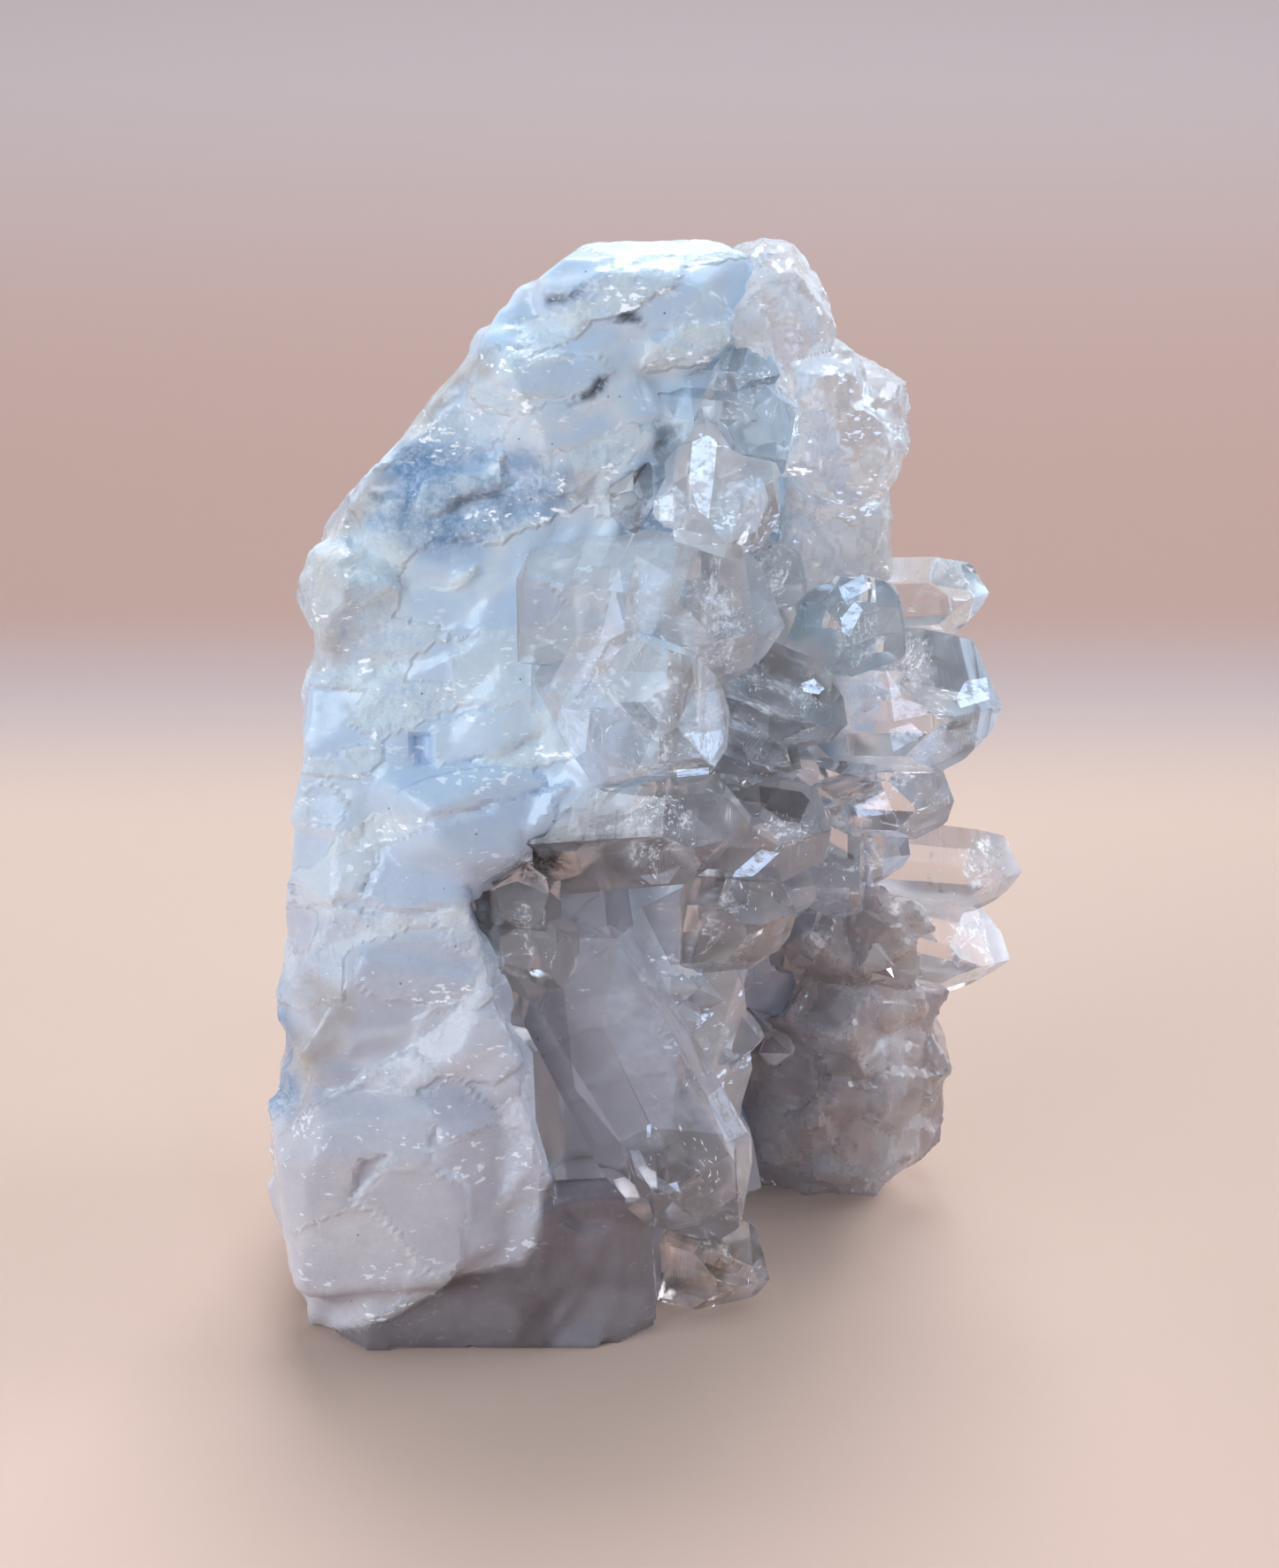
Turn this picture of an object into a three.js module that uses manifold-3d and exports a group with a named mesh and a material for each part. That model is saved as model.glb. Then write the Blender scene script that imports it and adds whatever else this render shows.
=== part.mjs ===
// A natural quartz cluster: a slab of milky quartz standing on a flat foot, its broken end to the
// front left, with clear pointed crystals growing out of its right-hand side. Millimetres, +Z up,
// +X to the right, +Y to the back. The origin is at the middle of the lowest face of its box.
import * as THREE from "three";
import { ConvexGeometry } from "three/addons/geometries/ConvexGeometry.js";
import { mergeVertices } from "three/addons/utils/BufferGeometryUtils.js";
import Module from "manifold-3d";

const wasm = await Module();
wasm.setup();

// Driving dimensions.
const TOP = 87; // height of the slab's blocks, under the lumps of its top edge
const SEAT_GAP = 0.3; // clearance left between pieces that touch
const HACKLE = 1.15; // how far the slab's fracture steps stand in or out
const HACKLE_SIZE = 7; // usual width of one fracture step
const HACKLE_FLATNESS = 2; // fracture steps are this much wider than they are high
const RHOMB_LEAN = 51.8; // degrees between a quartz crystal's axis and the normal of a tip face
const TAPER = 2; // degrees by which a crystal's sides close in towards its tip

const radians = THREE.MathUtils.degToRad;

// A repeatable number from 0 to 1 for a whole number and a channel.
function chance(index, channel) {
  const wave = Math.sin(index * 127.1 + channel * 311.7 + 74.7) * 43758.5453;
  return wave - Math.floor(wave);
}

// A repeatable number from -1 to 1.
function swing(index, channel) {
  return 2 * chance(index, channel) - 1;
}

// ---- Solids from flat faces -------------------------------------------------------------------

// The plane that faces along a vector and passes through a point, moved out by a shift.
function facing([x, y, z], through, shift = 0) {
  const normal = new THREE.Vector3(x, y, z).normalize();
  return { normal, distance: normal.dot(new THREE.Vector3(...through)) + shift };
}

// The convex solid that lies behind every plane, from the corners where three planes meet behind
// all the others.
function behindPlanes(planes) {
  const corners = [];
  const system = new THREE.Matrix3();
  for (let i = 0; i < planes.length; i++)
    for (let j = i + 1; j < planes.length; j++)
      for (let k = j + 1; k < planes.length; k++) {
        const [a, b, c] = [planes[i], planes[j], planes[k]];
        system.set(...a.normal, ...b.normal, ...c.normal);
        if (Math.abs(system.determinant()) < 1e-4) continue;
        const corner = new THREE.Vector3(a.distance, b.distance, c.distance);
        corner.applyMatrix3(system.invert());
        if (planes.some((p) => p.normal.dot(corner) > p.distance + 1e-5)) continue;
        if (!corners.some((other) => other.distanceTo(corner) < 5e-3)) corners.push(corner);
      }
  const geometry = new ConvexGeometry(corners);
  geometry.deleteAttribute("normal");
  return geometry;
}

function geometryFrom(positions) {
  const geometry = new THREE.BufferGeometry();
  return geometry.setAttribute("position", new THREE.Float32BufferAttribute(positions, 3));
}

// A closed geometry as a solid that can be joined and cut.
function solid(geometry) {
  const merged = mergeVertices(geometry, 1e-3);
  const vertProperties = merged.attributes.position.array;
  const triVerts = new Uint32Array(merged.index.array);
  return new wasm.Manifold(new wasm.Mesh({ numProp: 3, vertProperties, triVerts }));
}

function join(solids) {
  return solids.reduce((all, next) => all.add(next));
}

// The largest connected body of a solid, so that a cut leaves no loose crumbs.
function largestBody(whole) {
  return whole.decompose().sort((a, b) => b.volume() - a.volume())[0];
}

// A joined and cut solid as a geometry for a mesh.
function geometryOf(made) {
  const { numProp, vertProperties, triVerts } = made.getMesh();
  const positions = new Float32Array((vertProperties.length / numProp) * 3);
  for (let i = 0; i * numProp < vertProperties.length; i++)
    positions.set(vertProperties.subarray(i * numProp, i * numProp + 3), i * 3);
  const geometry = new THREE.BufferGeometry();
  geometry.setAttribute("position", new THREE.BufferAttribute(positions, 3));
  geometry.setIndex(new THREE.BufferAttribute(new Uint32Array(triVerts), 1));
  geometry.computeVertexNormals();
  return geometry;
}

// ---- The milky slab ---------------------------------------------------------------------------

// The slab is two broken blocks grown as one. Each block lies behind the planes of its faces, and
// its surface is measured from a spine, an upright line through its middle.
const BLOCKS = [
  {
    spine: { foot: [-10, 22], top: [0, 23] },
    columns: 34,
    rows: 16,
    faces: [
      facing([-0.02, -1, 0.04], [-16, 0.8, 0]), // foot, front
      facing([-0.1, -0.95, 0.26], [-16, 6.5, 36]), // broken end, which leans back
      facing([-0.5, -0.84, 0.12], [-29, 9, 36]), // broken end, left part
      facing([-0.8, -0.6, 0], [-28, 2.5, 0]), // left corner of the foot
      facing([-0.997, 0.03, 0.08], [-30.8, 14, 20]), // left side
      facing([-0.98, 0, -0.2], [-29, 5, 0]), // left side, undercut at the foot
      facing([-0.75, 0.2, 0.63], [-18, 18, 77.5]), // left shoulder
      facing([-0.3, 0.3, 0.9], [-5, 20, 89]), // slope up to the top
      facing([0.78, 0.1, 0.62], [6, 25, 85]), // right shoulder
      facing([0.9, -0.42, 0], [0.6, 6.5, 0]), // side that the crystals grow from
      facing([0.98, 0.1, 0], [9, 32, 40]), // right side
      facing([-0.05, 0.98, 0.17], [0, 46, 0]), // back
      facing([-0.1, 0.7, 0.7], [0, 33, 80]), // back of the top
      facing([-0.75, 0.66, 0.05], [-27, 36, 20]), // back, left corner
    ],
  },
  {
    spine: { foot: [11, 37], top: [0, 27] },
    columns: 20,
    rows: 10,
    faces: [
      facing([0.12, -1, -0.08], [11, 32.5, 0]), // front
      facing([0.8, -0.6, 0], [20, 32, 20]), // front, right corner
      facing([1, 0.05, 0.02], [22, 35, 10]), // right side
      facing([0.78, 0.1, 0.62], [6, 25, 85]), // right shoulder
      facing([0.7, 0.7, 0.1], [18.5, 42, 20]), // back, right corner
      facing([0.05, 0.98, 0.16], [10, 48, 0]), // back
      facing([0.1, 0.7, 0.7], [6, 34, 78]), // back of the top
      facing([-1, 0, 0], [-8, 36, 20]), // left side, inside the other block
      facing([-0.3, 0, 0.95], [0, 26, 88]), // top
    ],
  },
];

// How far the fracture surface stands out at a point: each of its steps is a tilted flat patch
// round the nearest seed point of a jittered grid, lower than it is wide.
function hackle(point) {
  const cell = new THREE.Vector3(HACKLE_SIZE, HACKLE_SIZE, HACKLE_SIZE / HACKLE_FLATNESS);
  const at = point.clone().divide(cell);
  const home = at.clone().floor();
  let nearest = Infinity;
  let height = 0;
  for (let neighbour = 0; neighbour < 27; neighbour++) {
    const step = [neighbour % 3, Math.floor(neighbour / 3) % 3, Math.floor(neighbour / 9)];
    const corner = home.clone().add(new THREE.Vector3(...step).subScalar(1));
    const index = corner.x * 17 + corner.y * 59 + corner.z * 113;
    const jitter = new THREE.Vector3(chance(index, 1), chance(index, 2), chance(index, 3));
    const away = at.clone().sub(corner.add(jitter));
    if (away.length() >= nearest) continue;
    nearest = away.length();
    const tilt = new THREE.Vector3(swing(index, 4), swing(index, 5), swing(index, 6));
    height = 0.6 * swing(index, 7) + 0.9 * tilt.dot(away);
  }
  return HACKLE * THREE.MathUtils.clamp(height, -1, 1);
}

// A block's surface on a shaken grid. The column turns round the spine, the row climbs it, and the
// radius runs to the nearest face plus the fracture steps there.
function blockGeometry({ spine, columns, rows, faces }, grow) {
  const positions = [];
  const spineAt = (climb) => {
    const share = climb / rows;
    const x = THREE.MathUtils.lerp(spine.foot[0], spine.top[0], share);
    const y = THREE.MathUtils.lerp(spine.foot[1], spine.top[1], share);
    return new THREE.Vector3(x, y, share * TOP);
  };
  const at = (column, row) => {
    const index = (column % columns) * 53 + row;
    const turns = ((column % columns) + 0.5 * (row % 2) + 0.3 * swing(index, 41)) / columns;
    const out = new THREE.Vector3(Math.cos(2 * Math.PI * turns), Math.sin(2 * Math.PI * turns), 0);
    const atEnd = row === 0 || row === rows;
    const middle = spineAt(atEnd ? row : row + 0.35 * swing(index, 42));
    const reaches = faces.map(({ normal, distance }) => {
      const across = normal.dot(out);
      return across > 0.05 ? (distance - normal.dot(middle)) / across : Infinity;
    });
    const radius = Math.min(...reaches);
    const steps = hackle(middle.clone().addScaledVector(out, radius));
    middle.addScaledVector(out, Math.max(radius + steps, 1) + grow);
    if (row === 0) middle.z = -1;
    if (row === rows) middle.z += grow + 0.5 * steps;
    return middle;
  };
  const triangle = (...corners) => corners.forEach((p) => positions.push(...p));
  const foot = spineAt(0).setZ(-1);
  const peak = spineAt(rows).setZ(TOP + grow);
  for (let column = 0; column < columns; column++) {
    for (let row = 0; row < rows; row++) {
      triangle(at(column, row), at(column + 1, row), at(column + 1, row + 1));
      triangle(at(column, row), at(column + 1, row + 1), at(column, row + 1));
    }
    triangle(foot, at(column + 1, 0), at(column, 0));
    triangle(peak, at(column, rows), at(column + 1, rows));
  }
  return geometryFrom(positions);
}

// Broken lumps that stand out of the slab: middle, half sizes, and turns about X, Y and Z in degrees.
const FOOT_BLOCK = {
  middle: [-13, 11.8, 5.5],
  half: [13.6, 10.8, 8],
  turns: [-3, 0, 3],
  crisp: true,
  cuts: [facing([0.68, -0.73, 0], [-3, 0.6, 0]), facing([-0.7, -0.7, 0.1], [-24, 1.2, 0])],
};
const LUMPS = [
  FOOT_BLOCK,
  { middle: [-20.4, 8.6, 13.2], half: [11.2, 9.8, 9.8], turns: [6, -8, 4] }, // pale lump on the foot
  { middle: [-19.4, 14, 27], half: [10.2, 9.5, 9], turns: [-12, 16, -8] }, // wedge over the lump
  { middle: [-12.5, 12, 19], half: [4.5, 8, 10], turns: [4, -14, 16] }, // sparkling broken edge
  { middle: [-24, 18, 61.5], half: [3.8, 5, 4.5], turns: [0, 20, 10] }, // cream lump on the left
  { middle: [-13, 15, 44], half: [9, 7, 6.5], turns: [-14, -10, 8] }, // ledge under the twin
  { middle: [-14, 22, 66], half: [9, 8, 6], turns: [-16, 8, 4] }, // ledge of the slate patches
  { middle: [-5.8, 21, 77.5], half: [7.2, 6.5, 8], turns: [-12, -20, 6] }, // upper ledge
  { middle: [0, 22, 84.4], half: [8.4, 6, 5.8], turns: [-6, -9, 8] }, // top edge
  { middle: [-16, 37, 30], half: [11, 8, 14], turns: [6, 10, -16] }, // back, lower left
  { middle: [4, 42, 18], half: [12, 7, 12], turns: [8, -14, 10] }, // back, lower middle
  { middle: [-6, 36, 58], half: [12, 6, 10], turns: [12, 18, -6] }, // back, upper left
  { middle: [12, 38, 48], half: [9, 6, 12], turns: [4, -20, 14] }, // back, upper right
  { middle: [-1, 29, 76], half: [9.5, 6, 9], turns: [24, 8, 4] }, // back of the top
];

// The recess at the front right, above the foot block, where the leaning crystal grows.
const RECESS = { middle: [-0.8, 3.6, 29.4], half: [10.5, 8.5, 16.5], turns: [-14, -15, 0], crisp: true };

// The top crust: clear lumps along the slab's right shoulder.
const CRUST = [
  { middle: [12.6, 26.5, 78], half: [4.4, 7, 11], turns: [0, -38.5, 0] },
  { middle: [9.6, 23.5, 84], half: [5.4, 6, 5.2], turns: [4, -26, 12] },
  { middle: [17.2, 26.5, 73.8], half: [5.2, 6, 5.2], turns: [-6, -12, -10] },
  { middle: [12.6, 22.5, 77], half: [5, 5, 5.5], turns: [10, 14, 20] },
  { middle: [16.5, 28, 64], half: [4.8, 4, 7], turns: [0, 6, -14] },
];

// A lump is a box whose edges and corners are broken off by flat faces at uneven depths.
function lumpGeometry({ middle, half, turns, crisp = false, cuts = [] }, index, grow) {
  const planes = cuts.map(({ normal, distance }) => ({ normal, distance: distance + grow }));
  const spin = new THREE.Euler(...turns.map(radians));
  const kept = crisp ? [0, 1, 0.96, 0.92] : [0, 1, 0.8, 0.7]; // share of the reach: side, edge, corner
  const uneven = crisp ? 0.3 : 1;
  for (let face = 0; face < 27; face++) {
    const way = [(face % 3) - 1, (Math.floor(face / 3) % 3) - 1, Math.floor(face / 9) - 1];
    const kind = Math.abs(way[0]) + Math.abs(way[1]) + Math.abs(way[2]);
    if (kind === 0) continue;
    const normal = new THREE.Vector3(...way.map((w, axis) => w / half[axis])).normalize();
    const reach = normal.toArray().reduce((sum, n, axis) => sum + Math.abs(n) * half[axis], 0);
    const tilt = [14, 15, 16].map((channel) => 0.2 * uneven * swing(index * 29 + face, channel));
    normal.add(new THREE.Vector3(...tilt)).normalize().applyEuler(spin);
    const depth = reach * kept[kind] * (1 + 0.07 * uneven * swing(index * 31 + face, 13));
    planes.push(facing(normal.toArray(), middle, depth + grow));
  }
  return behindPlanes(planes);
}

// ---- The crystals -----------------------------------------------------------------------------

// One quartz crystal from its foot to its tip: six prism faces, and six tip faces of which every
// other one lies further out, as they do on quartz. Roll turns it on its axis, flat squeezes it or
// widens it, and cutBack moves one of its tip faces back by a share of the width.
function crystalGeometry({ foot, tip, width, roll = 0, flat = 1, cutBack }, index, grow) {
  const axis = new THREE.Vector3(...tip).sub(new THREE.Vector3(...foot)).normalize();
  const aside = Math.abs(axis.z) > 0.8 ? new THREE.Vector3(1, 0, 0) : new THREE.Vector3(0, 0, 1);
  const across = aside.cross(axis).normalize().applyAxisAngle(axis, radians(roll));
  const up = axis.clone().cross(across);
  const leaning = (out, lean) =>
    out.clone().multiplyScalar(Math.cos(radians(lean))).addScaledVector(axis, Math.sin(radians(lean)));
  const planes = [facing(axis.clone().negate().toArray(), foot, grow)];
  for (let side = 0; side < 6; side++) {
    const turn = radians(60 * side);
    const out = across.clone().multiplyScalar(Math.cos(turn)).addScaledVector(up, Math.sin(turn));
    const squeeze = THREE.MathUtils.lerp(flat, 1, Math.abs(Math.cos(turn)));
    const reach = (width / 2) * squeeze * (1 + 0.12 * swing(index * 7 + side, 21));
    planes.push(facing(leaning(out, TAPER).toArray(), tip, reach + grow));
    const later = side % 2 ? width * (0.1 + 0.12 * chance(index * 7 + side, 22)) : 0;
    const cut = cutBack && cutBack.side === side ? cutBack.by * width : 0;
    planes.push(facing(leaning(out, 90 - RHOMB_LEAN).toArray(), tip, later - cut + grow));
  }
  return behindPlanes(planes);
}

// The crystals of each group have grown through each other. Feet lie inside the slab.
const GROUPS = {
  front_twin: [
    { foot: [-8, 24, 57], tip: [4.8, 0.5, 53.3], width: 12.4, roll: 20 },
    { foot: [-7.5, 17, 61.6], tip: [11.8, 8.5, 61.8], width: 10.6 },
  ],
  window_crystal: [
    { foot: [6.4, 25, 77], tip: [6.8, 9, 67.4], width: 8.4, roll: 10 },
    { foot: [5, 18, 73], tip: [2.2, 10.5, 69.6], width: 3 },
  ],
  leaning_crystal: [
    {
      foot: [-11.5, 16, 38],
      tip: [8, 1.5, 9.8],
      width: 7,
      flat: 1.8,
      roll: -51,
      cutBack: { side: 3, by: 0.3 },
    },
    { foot: [-9, 20, 46], tip: [-3.5, 5, 4], width: 11 },
  ],
  floor_crystal: [{ foot: [-4, 16, 3.8], tip: [11.2, 7, 3.4], width: 7.4 }],
  long_front_crystal: [{ foot: [-12, 15.5, 41.5], tip: [9.1, 4, 47], width: 9, roll: 30 }],
  dark_tip_crystal: [{ foot: [0, 22, 40.5], tip: [16, 10, 43.5], width: 7.6 }],
  lens_crystals: [
    { foot: [-6, 24, 80], tip: [11.5, 17, 80.6], width: 6, flat: 0.45 },
    { foot: [-6, 23, 77.6], tip: [12, 16, 77.6], width: 6.5, flat: 0.5 },
    { foot: [2, 28, 80], tip: [12, 13, 74.5], width: 6.4 },
  ],
  slate_crystal: [{ foot: [-1, 24, 82], tip: [-0.3, 13, 68.2], width: 4 }],
  smoky_crystals: [
    { foot: [0, 24, 55], tip: [17.3, 13, 51.8], width: 7 },
    { foot: [0, 22, 50], tip: [13.5, 12.5, 48], width: 6.5 },
  ],
  shaded_crystal: [{ foot: [3, 24, 62], tip: [13.9, 14.5, 63.8], width: 5 }],
  rounded_crystal: [
    { foot: [-12, 24, 29], tip: [13.3, 12, 35.4], width: 7.5 },
    { foot: [0, 30, 33], tip: [15.1, 15.5, 36.5], width: 5.6 },
  ],
  small_round_crystals: [
    { foot: [-12, 18, 38], tip: [-8.2, 4.6, 37.4], width: 5.4 },
    { foot: [-10, 18, 34], tip: [-7.6, 3.4, 33.6], width: 6.4 },
  ],
  barrel_crystal: [{ foot: [10, 34, 47], tip: [31, 21.5, 50.5], width: 10.5 }],
  high_right_crystals: [
    { foot: [8, 36, 54], tip: [22.6, 20.5, 57.5], width: 8.4 },
    { foot: [12, 36, 55], tip: [30.4, 30, 58], width: 6 },
  ],
  middle_right_crystals: [
    { foot: [10, 36, 38], tip: [27.3, 24, 41], width: 6.4 },
    { foot: [8, 36, 44], tip: [20.5, 23, 44], width: 8 },
    { foot: [10, 40, 35], tip: [24, 29, 34], width: 7 },
    { foot: [8, 38, 33], tip: [19, 20, 34.5], width: 7 },
  ],
  right_fingers: [
    { foot: [14, 40, 30], tip: [34.3, 32.5, 31], width: 7 },
    { foot: [14, 40, 25], tip: [33.5, 32.5, 22.5], width: 8 },
  ],
};

// Banks of short crystals: a low bed, and rows of crystals that fan out from its upright middle.
const FANS = {
  recess_crystals: {
    rows: 3,
    perRow: 2,
    middle: [2, 26],
    heights: [8, 30],
    turns: [-60, -34],
    reach: 12,
    width: 7,
    bed: { middle: [5, 20.5, 19], half: [5, 3.6, 15], turns: [0, 0, 62] },
  },
  lower_bank: {
    rows: 4,
    perRow: 4,
    middle: [17, 38],
    heights: [3.9, 23],
    turns: [-112, 8],
    reach: 12.6,
    width: 9,
    bed: { middle: [16.5, 37, 11.5], half: [8, 6.4, 12], turns: [4, 4, 18] },
  },
};

function fanCrystals({ rows, perRow, middle, heights, turns, reach, width }) {
  const made = [];
  for (let row = 0; row < rows; row++)
    for (let place = 0; place < perRow; place++) {
      const index = 900 + row * perRow + place;
      const across = (place + 0.4 * (row % 2)) / (perRow - 0.6);
      const turn = radians(THREE.MathUtils.lerp(...turns, across) + 7 * swing(index, 31));
      const level = THREE.MathUtils.lerp(...heights, row / (rows - 1)) + (row && swing(index, 33));
      const rise = 0.1 * row + 0.16 * swing(index, 34);
      const way = new THREE.Vector3(Math.cos(turn), Math.sin(turn), rise).normalize();
      const foot = new THREE.Vector3(...middle, level).addScaledVector(way, 2);
      const tip = foot.clone().addScaledVector(way, reach * (1 + 0.1 * swing(index, 36)) - 2);
      made.push({
        foot: foot.toArray(),
        tip: tip.toArray(),
        width: width * (1 + 0.2 * swing(index, 37)),
        roll: 60 * chance(index, 38),
      });
    }
  return made;
}

// ---- The whole cluster ------------------------------------------------------------------------

const COLOURS = {
  milky_slab: 0xc6d2de,
  top_crust: 0xccd3da,
  smoky_crystals: 0x8f8f96,
  lower_bank: 0xa89f9d,
  crystal: 0xd6dade,
};

// Everything under the surface that the cluster stands on, up to a height.
function under(height) {
  const box = new THREE.BoxGeometry(200, 200, 40);
  box.translate(0, 0, height - 20);
  box.deleteAttribute("normal");
  box.deleteAttribute("uv");
  return solid(box);
}

const lumps = (list, first, grow) => list.map((lump, i) => solid(lumpGeometry(lump, first + i, grow)));
const crystals = (list, first, grow) =>
  list.map((crystal, i) => solid(crystalGeometry(crystal, first + i, grow)));

// Every piece as a function of how much it is swollen, in the order in which pieces keep their shape.
const MAKERS = {
  milky_slab: (grow) =>
    join(BLOCKS.map((block) => solid(blockGeometry(block, grow))))
      .subtract(solid(lumpGeometry(RECESS, 30, -grow)))
      .add(join(lumps(LUMPS, 1, grow))),
};
Object.entries(GROUPS).forEach(([name, group], order) => {
  MAKERS[name] = (grow) => join(crystals(group, order * 40, grow));
});
Object.entries(FANS).forEach(([name, fan], order) => {
  const first = 900 + order * 60;
  MAKERS[name] = (grow) =>
    join([...lumps([fan.bed], first, grow), ...crystals(fanCrystals(fan), first, grow)]);
});
MAKERS.top_crust = (grow) => join(lumps(CRUST, 50, grow));

// Each piece is cut back from the swollen form of those before it, and stays off the floor.
const cluster = new THREE.Group();
const earlier = [];
for (const [name, make] of Object.entries(MAKERS)) {
  let piece = make(0);
  for (const swollen of earlier) piece = piece.subtract(swollen);
  piece = piece.subtract(under(name === "milky_slab" ? 0 : SEAT_GAP));
  earlier.push(make(SEAT_GAP));
  const color = COLOURS[name] ?? COLOURS.crystal;
  const roughness = name === "milky_slab" ? 0.35 : 0.06;
  const material = new THREE.MeshStandardMaterial({ color, roughness, metalness: 0 });
  const mesh = new THREE.Mesh(geometryOf(largestBody(piece)), material);
  mesh.name = name;
  cluster.add(mesh);
}

const box = new THREE.Box3().setFromObject(cluster);
const middle = box.getCenter(new THREE.Vector3());
cluster.position.set(-middle.x, -middle.y, -box.min.z);

export default cluster;
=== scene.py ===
import math

import bmesh
import bpy
import numpy as np
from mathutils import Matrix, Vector


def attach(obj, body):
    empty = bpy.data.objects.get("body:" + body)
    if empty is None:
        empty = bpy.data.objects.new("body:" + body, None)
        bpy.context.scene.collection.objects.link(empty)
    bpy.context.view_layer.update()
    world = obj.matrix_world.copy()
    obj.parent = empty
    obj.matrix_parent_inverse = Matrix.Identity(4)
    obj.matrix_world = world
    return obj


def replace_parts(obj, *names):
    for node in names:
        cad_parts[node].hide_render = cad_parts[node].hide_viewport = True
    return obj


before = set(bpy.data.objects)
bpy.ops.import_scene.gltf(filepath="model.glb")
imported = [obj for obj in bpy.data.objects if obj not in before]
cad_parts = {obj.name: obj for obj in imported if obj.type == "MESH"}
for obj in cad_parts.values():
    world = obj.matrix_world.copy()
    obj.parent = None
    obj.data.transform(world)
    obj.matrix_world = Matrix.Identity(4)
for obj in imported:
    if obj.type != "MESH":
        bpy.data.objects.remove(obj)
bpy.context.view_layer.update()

MM = 0.001
ORIGIN_SHIFT = np.array([-1.10, -24.71, 0.0])  # from the crystals' own coordinates to the part's, mm
RISE, LEAN = 0.940, 0.342  # cosine and sine of twenty degrees, by which the outlines' plane leans back
VIEW = np.array([0.0, RISE, -LEAN])  # the way that the outlines are laid on, in the part's coordinates
QUARTZ_IOR = 1.544
WHITE, BLACK = (1.0, 1.0, 1.0), (0.0, 0.0, 0.0)
RUST, SPECK = (0.07, 0.045, 0.03), (0.08, 0.07, 0.07)

# Each crystal's foot, tip and width in mm, in the coordinates that the part's source uses.
CRYSTALS = {
    "front_twin": [((-8, 24, 57), (4.8, 0.5, 53.3), 12.4), ((-7.5, 17, 61.6), (11.8, 8.5, 61.8), 10.6)],
    "window_crystal": [((6.4, 25, 77), (6.8, 9, 67.4), 8.4), ((5, 18, 73), (2.2, 10.5, 69.6), 3)],
    "leaning_crystal": [((-11.5, 16, 38), (8, 1.5, 9.8), 9), ((-9, 20, 46), (-3.5, 5, 4), 11)],
    "floor_crystal": [((-4, 16, 3.8), (11.2, 7, 3.4), 7.4)],
    "long_front_crystal": [((-12, 15.5, 41.5), (9.1, 4, 47), 9)],
    "dark_tip_crystal": [((0, 22, 40.5), (16, 10, 43.5), 7.6)],
    "lens_crystals": [((-6, 24, 80), (11.5, 17, 80.6), 4), ((-6, 23, 77.6), (12, 16, 77.6), 4.4),
        ((2, 28, 80), (12, 13, 74.5), 6.4)],
    "slate_crystal": [((-1, 24, 82), (-0.3, 13, 68.2), 4)],
    "smoky_crystals": [((0, 24, 55), (17.3, 13, 51.8), 7), ((0, 22, 50), (13.5, 12.5, 48), 6.5)],
    "shaded_crystal": [((3, 24, 62), (13.9, 14.5, 63.8), 5)],
    "rounded_crystal": [((-12, 24, 29), (13.3, 12, 35.4), 7.5), ((0, 30, 33), (15.1, 15.5, 36.5), 5.6)],
    "small_round_crystals": [((-12, 18, 38), (-8.2, 4.6, 37.4), 5.4),
        ((-10, 18, 34), (-7.6, 3.4, 33.6), 6.4)],
    "barrel_crystal": [((10, 34, 47), (31, 21.5, 50.5), 10.5)],
    "high_right_crystals": [((8, 36, 54), (22.6, 20.5, 57.5), 8.4), ((12, 36, 55), (30.4, 30, 58), 6)],
    "middle_right_crystals": [((10, 36, 38), (27.3, 24, 41), 6.4), ((8, 36, 44), (20.5, 23, 44), 8),
        ((10, 40, 35), (24, 29, 34), 7), ((8, 38, 33), (19, 20, 34.5), 7)],
    "right_fingers": [((14, 40, 30), (34.3, 32.5, 31), 7), ((14, 40, 25), (33.5, 32.5, 22.5), 8)],
}
# How many veils and how many sprays of painted glints each of a node's crystals holds, where it isn't the
# usual number.
VEILS = {"front_twin": 10, "window_crystal": 7, "leaning_crystal": 3, "long_front_crystal": 7,
    "floor_crystal": 5}
GLINTS = {"front_twin": 12, "window_crystal": 8, "long_front_crystal": 7, "leaning_crystal": 3,
    "floor_crystal": 5}
# Where the run of painted facet shades of a node starts, in radians.
SHADES = {"front_twin": 3.1, "leaning_crystal": 1}

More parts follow.
